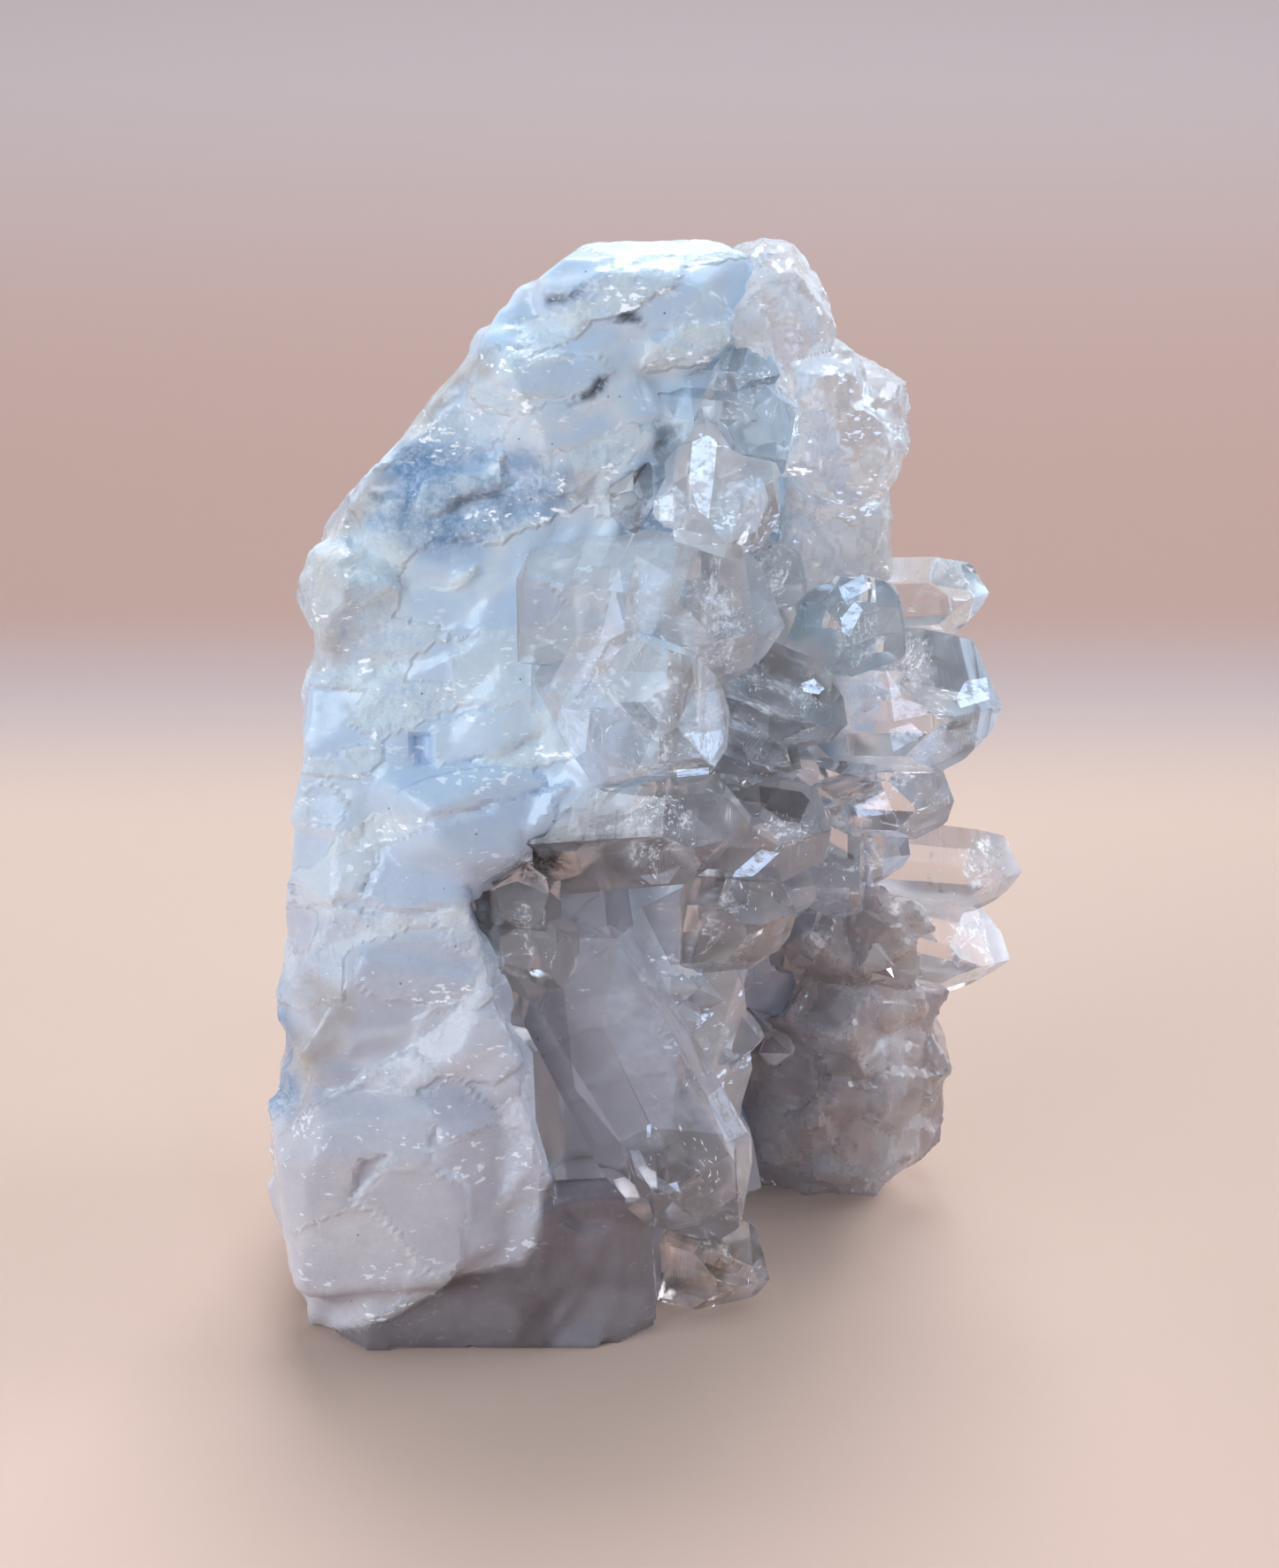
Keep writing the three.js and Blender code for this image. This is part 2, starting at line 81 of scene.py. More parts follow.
# Outlines on the slab's broken face, in mm: across, and up a plane that leans back by twenty degrees.
# Smooth flakes: how far each stands out in mm, its tone from dark 0 to pale 1, and its outline.
FLAKES = {
    "tongue": (0.65, 0.95, [(-17.8, 73), (-15.8, 73.7), (-12.7, 73.7), (-11.8, 74.9), (-10.9, 75.5),
        (-11.1, 74), (-10.8, 72.7), (-12.4, 72.2), (-14.7, 71.9), (-15.6, 71.1), (-16.2, 70.3),
        (-17.6, 70.1), (-18.4, 71.2)]),
    "upper": (0.3, 0.35, [(-8.8, 82.2), (-3, 82.8), (-2.2, 81.5), (-3.9, 80.3), (-5.2, 79.8), (-8.8, 79.6),
        (-11.7, 80.2)]),
    "chip": (0.4, 1, [(-15.6, 64.5), (-14.9, 65.5), (-13.2, 66.2), (-13.6, 65.2), (-14.7, 64.3)]),
    "long": (0.5, 0.3, [(-23.3, 38.5), (-22.7, 39.4), (-21.9, 41.6), (-21.5, 43.1), (-19.8, 43.6),
        (-18.4, 44.4), (-16.1, 45), (-12.6, 45.8), (-11.8, 46.8), (-8.2, 47.3), (-5.6, 48.2), (-6.7, 46.8),
        (-7.1, 44.8), (-8.6, 43.3), (-10.1, 41.9), (-11.6, 40.4), (-12.7, 39.6), (-13.7, 38.5), (-16.3, 38),
        (-18.9, 37.6), (-20.7, 37.4), (-21.8, 38)]),
    "middle": (0.35, 0.4, [(-20.7, 46.3), (-19.5, 47.7), (-17.3, 48.6), (-14.8, 49.2), (-11.9, 49.5),
        (-8.9, 49.2), (-7.5, 48.2), (-9, 47.4), (-11.8, 46.9), (-14.7, 46.1), (-18.4, 45.6),
        (-19.9, 45.3)]),
    "right": (0.4, 0.5, [(-17, 53.1), (-13.5, 54.2), (-8.9, 55), (-8.1, 52.8), (-11.3, 50.8), (-14.6, 50.2),
        (-16.7, 49.6), (-17.3, 51.7)]),
    "pit": (-0.7, 0, [(-19, 52.3), (-17.2, 52.4), (-17.1, 49.6), (-18.5, 49.8)]),
    "flat": (0.25, 0.6, [(-15.9, 55), (-15.4, 58.8), (-12.8, 61.1), (-8.9, 60.8), (-8.7, 55.2),
        (-11.5, 54.7)]),
    "left": (0.1, 0.35, [(-28, 47.7), (-25.9, 48.6), (-25.3, 47.9), (-24.1, 46.8), (-24.7, 45.1),
        (-25.6, 44.6), (-27.6, 45.1)]),
    "ledge": (0.3, 0.75, [(-28.8, 38.1), (-25.8, 37.9), (-24.8, 38.7), (-23.5, 38.6), (-22.4, 40.9),
        (-21.8, 42.4), (-23.7, 42.9), (-26.7, 41.8), (-28.1, 40.5)]),
    "leaf": (0.45, 1, [(-13.5, 38.7), (-12.3, 38.7), (-10.9, 37.4), (-11.6, 36.5), (-12.4, 35.6),
        (-14.1, 34.1), (-14.7, 34.2), (-13.7, 36), (-14, 37.4)]),
    "mauve": (0.2, 0.3, [(-17.9, 22.1), (-16.4, 23.4), (-14.9, 23.7), (-11.8, 20.7), (-13.4, 19.2),
        (-16.3, 18.6), (-17, 20.4)]),
    "lump": (0.35, 0.5, [(-31.2, 17.6), (-27.9, 20.5), (-25.3, 22), (-23.1, 23.1), (-20.8, 22.8),
        (-18.2, 22.1), (-17, 20.4), (-17.7, 17.9), (-17.4, 16.4), (-14.9, 15.6), (-14.2, 14.4),
        (-14.3, 12.5), (-14.9, 10.3), (-14.6, 8.7), (-15.7, 7.1), (-17, 5.8), (-20.3, 3.8), (-24.2, 2.5),
        (-28.7, 0.8), (-31.5, 0.8), (-33, 10), (-33, 16)]),
    "lump_face": (0.45, 0.42, [(-21.4, 16.4), (-17.3, 16.6), (-14.2, 14.9), (-13.9, 9.5), (-17.1, 7.1),
        (-21.4, 12.6), (-23.4, 13.5)]),
    "lump_low": (0.2, 0.6, [(-30.8, 8.8), (-27.8, 11.4), (-23.4, 13.2), (-21.4, 12.3), (-18.7, 8.7),
        (-20, 4.6), (-24.2, 2.7), (-28.7, 0.9), (-29.6, 4)]),
    "low_a": (0.25, 0.4, [(-23.3, 33.9), (-20.7, 35.4), (-16.3, 35.3), (-13, 33.6), (-14.9, 31),
        (-18.6, 29.9), (-22.2, 30.6), (-24, 32.1)]),
    "low_b": (0.3, 0.6, [(-18.6, 28.7), (-14.9, 30.2), (-11.3, 28.6), (-9.8, 24.9), (-12, 23.2),
        (-16.4, 24), (-18.6, 25.8)]),
    "lump_right": (0.1, 0.5, [(-17.4, 17.9), (-14.8, 18.6), (-13.4, 19.2), (-12, 19.9), (-8.9, 19.2),
        (-8.5, 15.4), (-8.3, 13.8), (-8.6, 10.1), (-9.8, 8.1), (-12.1, 7.6), (-15, 7), (-14.6, 10.3),
        (-14.2, 14), (-14.9, 15.6), (-17, 16.4)]),
    "groove": (-0.3, 0.2, [(-23.8, 14.6), (-23, 17), (-21.8, 17.3), (-20.7, 17.7), (-20.4, 17.5),
        (-22.2, 15.3), (-24.6, 13.2)]),
}
# Patches of colour: the attribute that they are drawn in, its value, and the outline.
PATCHES = {
    "slate": ("slate", 0.62, [(-19.6, 75.7), (-11.8, 75.8), (-8.1, 75.1), (-5.6, 73.4), (-5.6, 70.7),
        (-8.5, 69.6), (-11.4, 68.6), (-13.3, 66.9), (-16.2, 66.9), (-20.5, 68.6), (-23.6, 69.7),
        (-23.2, 71.3), (-21.3, 73), (-21, 75.4)]),
    "slate_dark": ("slate", 1, [(-20, 76.6), (-17.6, 75.7), (-16.2, 75.1), (-16, 73.7), (-17.3, 72.7),
        (-18, 71.9), (-18.5, 70.4), (-19.4, 69.6), (-20, 71.2), (-19.7, 72.8), (-20.7, 74.1),
        (-20.2, 75.6)]),
    "slate_spot": ("slate", 0.9, [(-17.4, 68.8), (-14.7, 69.1), (-13.8, 67.9), (-15.8, 66.9),
        (-17.2, 67.8)]),
    "slate_strip": ("slate", 0.75, [(-31, 32.8), (-29.7, 31.5), (-29.8, 28.5), (-28.9, 26.4), (-28.8, 22.4),
        (-29.7, 20.2), (-33, 19.4), (-33, 30)]),
    "tongue_shadow": ("crack_and_shade", 0.8, [(-15.6, 70.6), (-14.9, 71.7), (-12.9, 72.1), (-10.9, 72),
        (-10.9, 71.6), (-12.9, 71.6), (-14.4, 71.1), (-15.2, 70.4)]),
    "crack_left": ("crack_and_shade", 1, [(-7.6, 87.9), (-6.8, 88), (-5.5, 88), (-4.3, 88.7), (-4.7, 87.8),
        (-6.1, 87.2), (-7.4, 87.1)]),
    "crack_top": ("crack_and_shade", 1, [(-2.3, 85.9), (-1, 86.7), (-0.3, 86.3), (0.4, 85.4), (-0.8, 85.6),
        (-1.6, 85.7)]),
    "crack_middle": ("crack_and_shade", 1, [(-5.7, 79), (-4.8, 79.8), (-4.1, 80.2), (-3.5, 81.3), (-2.6, 81.4),
        (-2.7, 80.4), (-3.6, 79.6), (-4.8, 79.2)]),
    "rim": ("cream", 0.8, [(-14.3, 83.5), (-12.6, 83.3), (-12, 81.6), (-14.8, 80.3), (-16.2, 78.4),
        (-18, 76.8), (-19.5, 76.1), (-21, 77.8), (-18.3, 81)]),
    "rim_low": ("cream", 0.7, [(-28, 68.4), (-26.6, 70.8), (-23.6, 72.9), (-21.7, 74.4), (-20.4, 72.8),
        (-21.7, 70.5), (-24, 68.8)]),
    "cream": ("cream", 0.5, [(-30.5, 65.3), (-28.5, 67.3), (-24.8, 68.3), (-23.4, 67.5), (-23.7, 62.4),
        (-24.4, 58.9), (-26.1, 57.1), (-29.3, 58.9)]),
    "stain": ("cream", 0.7, [(-27.6, 31.7), (-24.1, 31.1), (-23.6, 28.7), (-24.5, 27.5), (-26.7, 27.5),
        (-28.5, 30.1)]),
    # Painted shade: the dark gap round the window crystal, drawn dark like the cracks.
    "window_gap_shade": ("crack_and_shade", 0.6, [(1.2, 77.5), (3.4, 77.5), (3.2, 70.5), (12, 69.5), (12, 67.8), (-2, 67.8),
        (-1.5, 70.5), (1, 70.5)]),
    # Painted shade: a recess wall between the crystals, darkened with the foot block's dark colour.
    "recess_wall_shade": ("block", 0.5, [(-1.6, 42), (1.6, 42), (1.6, 29), (-0.6, 29)]),
    "stain_low": ("cream", 0.8, [(-29.3, 27.5), (-24.3, 27.3), (-25.6, 25.4), (-28.1, 22.2),
        (-29.1, 24.7)]),
}
# The foot block's outline, and its inner faces: tone and outline.
FOOT_BLOCK = [(-31, 0.6), (-24.2, 1.9), (-20.4, 3.2), (-17, 5.4), (-15.6, 6.8), (-9.8, 7.9), (-8.6, 9.7),
    (-8, 14.2), (-7.3, 15.3), (-5.5, 16.9), (4, 16.9), (4, -3), (-31, -3)]
BLOCK_PANES = [
    (0.25, [(-16.8, 5.4), (-15.6, 6.8), (-9.8, 7.9), (-8.6, 9.4), (-8.7, 5.6), (-12.1, 6)]),
    (0.3, [(-11, 5.6), (-8.7, 5.6), (-8, 14.2), (-7.2, 14.6), (-0.5, 14.7), (0.6, 11), (-4.6, 11.5),
        (-8.4, 5.3), (-7.1, 3.8), (-7.5, -1.7), (-9.5, -1.7)]),
    (0.65, [(-20, 2.2), (-18.9, 3.6), (-15.9, 4.6), (-12.1, 4.9), (-10.5, 4), (-10.3, 2.7), (-12.2, 2.2),
        (-16.7, 1.8)]),
    (0.8, [(-7.1, 3.6), (-4.7, 5.9), (0.8, 4.8), (0.8, 2.6), (-7.4, -1.7)]),
    (0.6, [(-5, 10.5), (-4.1, 11.3), (-1.3, 11.1), (-1.1, 6.9), (-3.8, 6.8), (-5, 8.1)]),
]
# Parts of the crystals' front faces that show another tone: painted shade, painted glow (a highlight that
# gives out light), a painted tint that is warm above 0 and cool below 0, and outline. They stand for what
# is seen through and mirrored in the faces, inner faces, cracks and the light behind, painted as shade,
# highlights and warm and cool reflections.
FACETS = {
    "front_twin": [
        (0.9, 0, 0, [(-8.7, 59.1), (-7.3, 59.6), (-6, 58.6), (-6.8, 56.9), (-8.5, 55.5)]),
        (0.45, 0, 0, [(-8, 62.1), (-5.6, 62.3), (-4.5, 61.6), (-5.6, 59.8), (-6.1, 58.7), (-7.3, 59.6),
            (-8, 60.5)]),
        (0.3, 0, 0.5, [(-5.6, 64.8), (-3.9, 65.9), (-2.3, 65.9), (-2.8, 62.2), (-5.9, 62.3)]),
        (0.55, 0, 0, [(6.6, 63.5), (9.7, 63.9), (11.3, 61.2), (9.6, 58.8), (6.7, 56), (5.5, 58.6),
            (4.8, 62.1)]),
        (0.4, 0, -0.4, [(-1.6, 62.2), (4.1, 62.1), (4.8, 61), (2.7, 58.6), (-1.6, 61.1)]),
        (0.1, 0.03, 0.9, [(-5.2, 60.1), (-2, 61.2), (-1.6, 57.2), (-5.9, 56.2), (-7.3, 56.4)]),
        (0.3, 0, 0.6, [(-2, 61.2), (-0.2, 60), (3.7, 57.1), (-1.6, 57.2)]),
        (0, 0.25, 0, [(-6.8, 54.4), (-3.9, 53.9), (-4.4, 50.8), (-5.6, 50.1), (-6.7, 51.5)]),
        (0.2, 0, 0.8, [(-8.2, 55.7), (-6.3, 55.7), (-6.9, 52.2), (-8, 53), (-8.4, 54.4)]),
        (1, 0, 0.2, [(-1.6, 54.7), (0, 54.8), (1.6, 53), (1.1, 52.2), (-0.5, 53.2)]),
        (0.6, 0, 0.2, [(-3.9, 54.3), (-1.6, 54.3), (1.2, 52.2), (-0.2, 49.3), (-3.8, 49.7), (-4.4, 50.8)]),
        (0.1, 0.15, 0.1, [(3, 52.9), (4.3, 55.7), (6.5, 55.9), (7.1, 52.4), (5.5, 49.9)]),
        (0, 0.6, 0, [(4.1, 52.1), (6.7, 52.6), (6.9, 51.7), (5.8, 50), (4.8, 50.7)]),
        (0.25, 0, 0.5, [(4.3, 57.8), (5.6, 58.3), (6.5, 55.9), (4.3, 55.3), (3, 52.9), (2.4, 55)]),
        (0, 1, 0, [(3, 49.3), (5.6, 49.5), (5.7, 49), (5.2, 48.6), (3.1, 48.6)]),
        (0.8, 0, 0.4, [(1.6, 51.8), (3, 52.7), (5.4, 49.9), (3, 49.5), (1.6, 49.7)]),
    ],
    "window_crystal": [
        (0, 0.9, 0, [(4.3, 76), (5.6, 76.5), (6.3, 75.9), (6, 72.9), (5.6, 69.6), (4.8, 70.2), (4, 72.6)]),
        (0.4, 0, 0.4, [(3, 75.6), (4.1, 76), (3.8, 72.3), (4, 70.3), (3, 70.4), (2.7, 72.7)]),
        (0.3, 0, 0.4, [(3.1, 76), (4.9, 77.5), (6.7, 77.6), (6.2, 76.5), (4.9, 76.3)]),
        (0.4, 0, 0.2, [(6.5, 77.1), (10, 77.3), (11.4, 75.7), (10, 73.2), (8.1, 73.1), (7.4, 75.2)]),
        (0.1, 0.1, -0.3, [(7.3, 72.5), (9.9, 73), (10.5, 71.3), (9.6, 68.8), (7.3, 67.6), (5.9, 68.6),
            (6.1, 71.5)]),
        (0, 0.5, 0, [(1.6, 71.5), (2.7, 71.5), (2.8, 69.4), (1.6, 69.5)]),
        (0.3, 0.05, 0.3, [(3.4, 69.8), (5.5, 69.4), (7, 67.5), (4.1, 67.5), (3.1, 68.7)]),
    ],
    "slate_crystal": [
        (0, 1.6, 0, [(-0.5, 73), (0.4, 73), (0.3, 71.7), (0, 70.8), (-0.5, 71.8)]),
        (0.9, 0, 0, [(-1.6, 75.9), (1.1, 75.9), (1.1, 71.7), (0, 69.9), (-1.5, 70.6)]),
    ],
    "leaning_crystal": [
        (0.05, 0.08, -0.1, [(-1.7, 35.3), (-0.2, 36.5), (2.7, 30.7), (9.6, 18.7), (1.1, 19.5),
            (-3.1, 27.9)]),
        (0, 0.35, 0, [(5.6, 22), (8.3, 23.2), (9.6, 18.9), (7.2, 18.3)]),
        (0, 0.05, 0, [(0.6, 24.6), (1.7, 25.3), (2.6, 24.6), (2.4, 22.9), (0.9, 22.6)]),
        (0.12, 0.03, 0, [(-6.8, 35.3), (-1.7, 35.2), (-3.1, 27.9), (0.9, 19.5), (-1.7, 18.4),
            (-5.4, 22.7)]),
        (0.5, 0, 0.1, [(1.1, 19.1), (2, 19.1), (5, 16.9), (3.5, 14.8), (0.6, 16.2), (0, 17.3)]),
        (0, 0.15, 0, [(-0.8, 17.7), (0, 17.7), (0.9, 15.9), (3.3, 14.4), (2.4, 14), (-0.2, 15.5)]),
        (0, 0.8, 0, [(2.4, 14.9), (3.1, 15.1), (3.5, 14)]),
        (0.1, 0.05, 0, [(7.2, 18.2), (9.6, 18.7), (10.2, 16.8), (10.1, 13.7), (9.5, 9.8), (8.4, 13.7)]),
        (0.25, 0, 0.2, [(3.5, 14.4), (5.7, 16.9), (7.2, 17.6), (8.4, 13.7), (8.7, 10.7), (5.7, 11.5)]),
        (0.8, 0, 0.2, [(7.2, 14.2), (8.4, 13.7), (8.1, 12.6), (7.4, 12.6), (6.9, 13.4)]),
        (0, 0.9, 0, [(0.6, 19.7), (1, 19.9), (0.9, 18.8), (0.6, 18.7)]),
    ],
    "rounded_crystal": [
        (0.6, 0, 0.1, [(-1.2, 40), (3.6, 40), (3.6, 28), (-1.2, 28)]),
    ],
    "floor_crystal": [
        (0.4, 0.05, 1.2, [(2.1, 9.4), (5.1, 8.4), (4.7, 6.5), (2.5, 6.4)]),
        (0.7, 0, 1.2, [(6.3, 8.2), (8.9, 6.8), (8.2, 6.2), (5.1, 6.6)]),
        (0.1, 0.05, 0, [(9.3, 9), (10.9, 6.7), (11, 4.4), (9.7, 3.1), (9.3, 5.7)]),
        (0.3, 0, 0.1, [(5.1, 6.2), (8.9, 6.1), (8.9, 4.6), (5.9, 4.5)]),
        (0.7, 0, 0.5, [(1.7, 5.4), (5.1, 3.9), (9.7, 3.4), (8.9, 2.8), (2.9, 3.1)]),
    ],
    "long_front_crystal": [
        (0.55, 0, 0.25, [(-7.1, 42.6), (1.3, 44.2), (5.9, 43.9), (4.9, 41), (-1.6, 39.7), (-6.1, 39.4)]),
        (0.15, 0, -0.15, [(-5.1, 48.5), (5.9, 48.6), (8.8, 46.4), (7.7, 44.3), (1.3, 44.3), (-6, 43.9)]),
        (0, 0.2, 0, [(0, 40.6), (1.6, 40.8), (3.4, 41.5), (2.4, 40), (0.9, 39.9)]),
    ],
    "dark_tip_crystal": [
        (1.6, 0, 0, [(10, 48), (13.5, 47.5), (14.2, 46.8), (13.3, 44.9), (11.9, 45.1), (10.1, 46.4)]),
        (0, 0.05, 0, [(10.1, 44.9), (13.3, 44.6), (13.4, 43.5), (12.3, 42.7), (10.1, 43.8), (9.4, 44.6)]),
        (0, 1, 0, [(8, 40.8), (10.1, 42.7), (11.6, 42.4), (9.5, 40.4), (7.9, 40.2)]),
        (0.7, 0, 0, [(14.2, 46.8), (15.8, 44.2), (15, 42.7), (13.4, 44.6)]),
    ],
    "smoky_crystals": [
        (0.9, 0, 0, [(9.8, 58.4), (11.2, 55.2), (8.3, 56), (7.2, 56.4)]),
        (0, 0.05, 0, [(7.2, 55.6), (10.8, 54.5), (10.7, 51.9), (7.3, 52.9)]),
        (1.1, 0, 0, [(7.3, 52.7), (10.9, 51.6), (12.7, 50.8), (12.6, 49), (9.4, 50.1), (7.9, 50.8)]),
        (0, 1.5, 0, [(13.4, 56.5), (14.5, 56.9), (15.4, 56.1), (14.9, 55.6), (13.6, 55.8)]),
        (0.6, 0, -0.2, [(11.9, 55.6), (13.4, 55.6), (16.4, 53.8), (17.5, 52.3), (16.7, 52.1), (13, 54.1)]),
    ],
    "high_right_crystals": [
        (0, 1.1, 0, [(17, 62.1), (18.2, 63.6), (18.9, 62.9), (17.7, 60.6), (17.1, 61)]),
        (0, 0.8, 0, [(16.9, 64.8), (19, 66), (19.7, 64.8), (17.4, 63.6)]),
        (1.2, 0, 0, [(25.8, 63.9), (26.5, 64.3), (27.4, 61.3), (26.4, 61.4)]),
    ],
    "barrel_crystal": [
        (0, 0.15, 1, [(22.3, 58.8), (25.5, 58.6), (25.3, 56.5), (22.4, 57.1)]),
        (0, 0.1, 0.8, [(18.7, 55.4), (20.9, 55.6), (21.3, 53.5), (19.9, 53.5)]),
        (0, 1.2, 0, [(27.8, 56.9), (29.7, 57.3), (29.9, 55.4), (27.3, 54.6), (26.9, 55.4)]),
        (0, 0.5, 0, [(21, 58.1), (22.4, 55.4), (24.6, 54.6), (24.2, 54), (21.7, 53.5), (21.3, 56.2)]),
        (0, 0.5, 0, [(21.3, 52.8), (23.1, 53.3), (24.2, 52.4), (21.7, 50.9)]),
    ],
    "middle_right_crystals": [
        (0, 0.7, 0, [(18.7, 46.2), (21.3, 47.5), (22.1, 45.6), (19.1, 45.2)]),
    ],
}

# ---- Small tools ---------------------------------------------------------------------------------


def hashed(cells, channel):
    """A repeatable number from 0 to 1 for each row of whole numbers: the fraction left of a large sine."""
    wave = np.sin(cells @ np.array([127.1, 311.7, 74.7]) + channel * 19.19) * 43758.5453
    return wave - np.floor(wave)


def blend(low, high, share):
    """From low to high, by a share from 0 to 1."""
    return low * (1 - share) + high * share


def s_curve(share):
    """A share from 0 to 1 that starts and ends gently: 3 times its square less 2 times its cube."""
    return share * share * (3 - 2 * share)


def unit(vectors):
    """One vector, or rows of them, made 1 long."""
    whole = vectors.ndim == 1
    return vectors / (np.linalg.norm(vectors) if whole else np.linalg.norm(vectors, axis=1, keepdims=True))


def smooth_noise(points, size, seed=0):
    """Value noise from -1 to 1: random numbers at the corners of a grid of cubes, blended with an S curve."""
    at = points / size + seed * 17.3
    home = np.floor(at)
    share = s_curve(at - home)
    total = np.zeros(len(points))
    for corner in range(8):
        step = np.array([corner & 1, corner >> 1 & 1, corner >> 2 & 1])
        weight = np.prod(np.where(step, share, 1 - share), axis=1)
        total += weight * (2 * hashed(home + step, seed) - 1)
    return total


def noise_rows(points, size, seeds):
    """Smooth noise of one size, with a column for each seed."""
    return np.stack([smooth_noise(points, size, seed) for seed in seeds], axis=1)


def flakes(points, cell, seed=0, seam=0.14):
    """Fracture flakes: each point takes the height of the tilted plane round its nearest seed of a shaken
    grid, and two planes blend over a narrow seam where they are equally near. Returns the height from -1
    to 1, the flake's own random tone from 0 to 1, and 1 on the seams falling to 0 inside the flake."""
    at = points / np.array(cell) + seed * 7.7
    home = np.floor(at)
    near, second = np.full(len(at), 9.0), np.full(len(at), 9.0)
    height, other, tone = np.zeros(len(at)), np.zeros(len(at)), np.zeros(len(at))
    for step in np.ndindex(3, 3, 3):
        corner = home + np.array(step) - 1
        jitter = np.stack([hashed(corner, seed + k) for k in (1, 2, 3)], axis=1)
        away = at - corner - jitter
        distance = np.linalg.norm(away, axis=1)
        tilt = np.stack([2 * hashed(corner, seed + k) - 1 for k in (4, 5, 6)], axis=1)
        plane = 0.55 * (2 * hashed(corner, seed + 7) - 1) + 0.8 * np.sum(tilt * away, axis=1)
        closer = distance < near
        other = np.where(closer, height, np.where(distance < second, plane, other))
        second = np.where(closer, near, np.minimum(second, distance))
        height = np.where(closer, plane, height)
        tone = np.where(closer, hashed(corner, seed + 8), tone)
        near = np.where(closer, distance, near)
    share = 0.5 + 0.5 * s_curve(np.clip((second - near) / seam, 0, 1))
    lip = np.clip(1 - (second - near) / 0.3, 0, 1)
    return np.clip(blend(other, height, share), -1, 1), tone, lip


def vectors(items, name):
    """A vector that a mesh's vertices, faces or attribute hold, as rows."""
    flat = np.empty(len(items) * 3, np.float32)
    items.foreach_get(name, flat)
    return flat.reshape(-1, 3).astype(float)


def whole_numbers(items, name):
    """A whole number that each of a mesh's faces or corners holds."""
    flat = np.empty(len(items), np.int32)
    items.foreach_get(name, flat)
    return flat


def coordinates(mesh):
    """The mesh's vertices as rows of millimetres."""
    return vectors(mesh.vertices, "co") / MM


def set_coordinates(mesh, points):
    mesh.vertices.foreach_set("co", (points * MM).astype(np.float32).ravel())
    mesh.update()


def add_attribute(mesh, name, values, domain="POINT"):
    layer = mesh.attributes.new(name, "FLOAT", domain)
    layer.data.foreach_set("value", np.asarray(values, np.float32))


def in_scene(name, data):
    """A new object, linked to the scene."""
    made = bpy.data.objects.new(name, data)
    bpy.context.scene.collection.objects.link(made)
    return made


def new_piece(name, mesh, material):
    """A finished piece at the origin that rides on the cluster's only body."""
    piece = in_scene(name, mesh)
    mesh.materials.clear()
    mesh.materials.append(material)
    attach(piece, "root")
    return piece


def mesh_from(name, points, faces):
    """A mesh from rows of millimetres and lists of corner numbers."""
    mesh = bpy.data.meshes.new(name)
    mesh.from_pydata((points * MM).tolist(), [], faces)
    mesh.update()
    return mesh


def to_new_mesh(work, name):
    """The mesh that a bmesh becomes. The bmesh is freed."""
    mesh = bpy.data.meshes.new(name)
    work.to_mesh(mesh)
    work.free()
    return mesh


def grid_faces(columns, rows):
    """Corner numbers of the quads of an open grid that is stored row by row."""
    start = (np.arange(rows - 1)[:, None] * columns + np.arange(columns - 1)).ravel()
    return np.stack([start, start + 1, start + columns + 1, start + columns], axis=1)


def merged(node):
    """A copy of a CAD node's mesh with its loose triangles merged, as an open bmesh."""
    work = bmesh.new()
    work.from_mesh(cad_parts[node].data)
    bmesh.ops.remove_doubles(work, verts=work.verts, dist=2e-6)
    return work


# ---- Shader parts --------------------------------------------------------------------------------


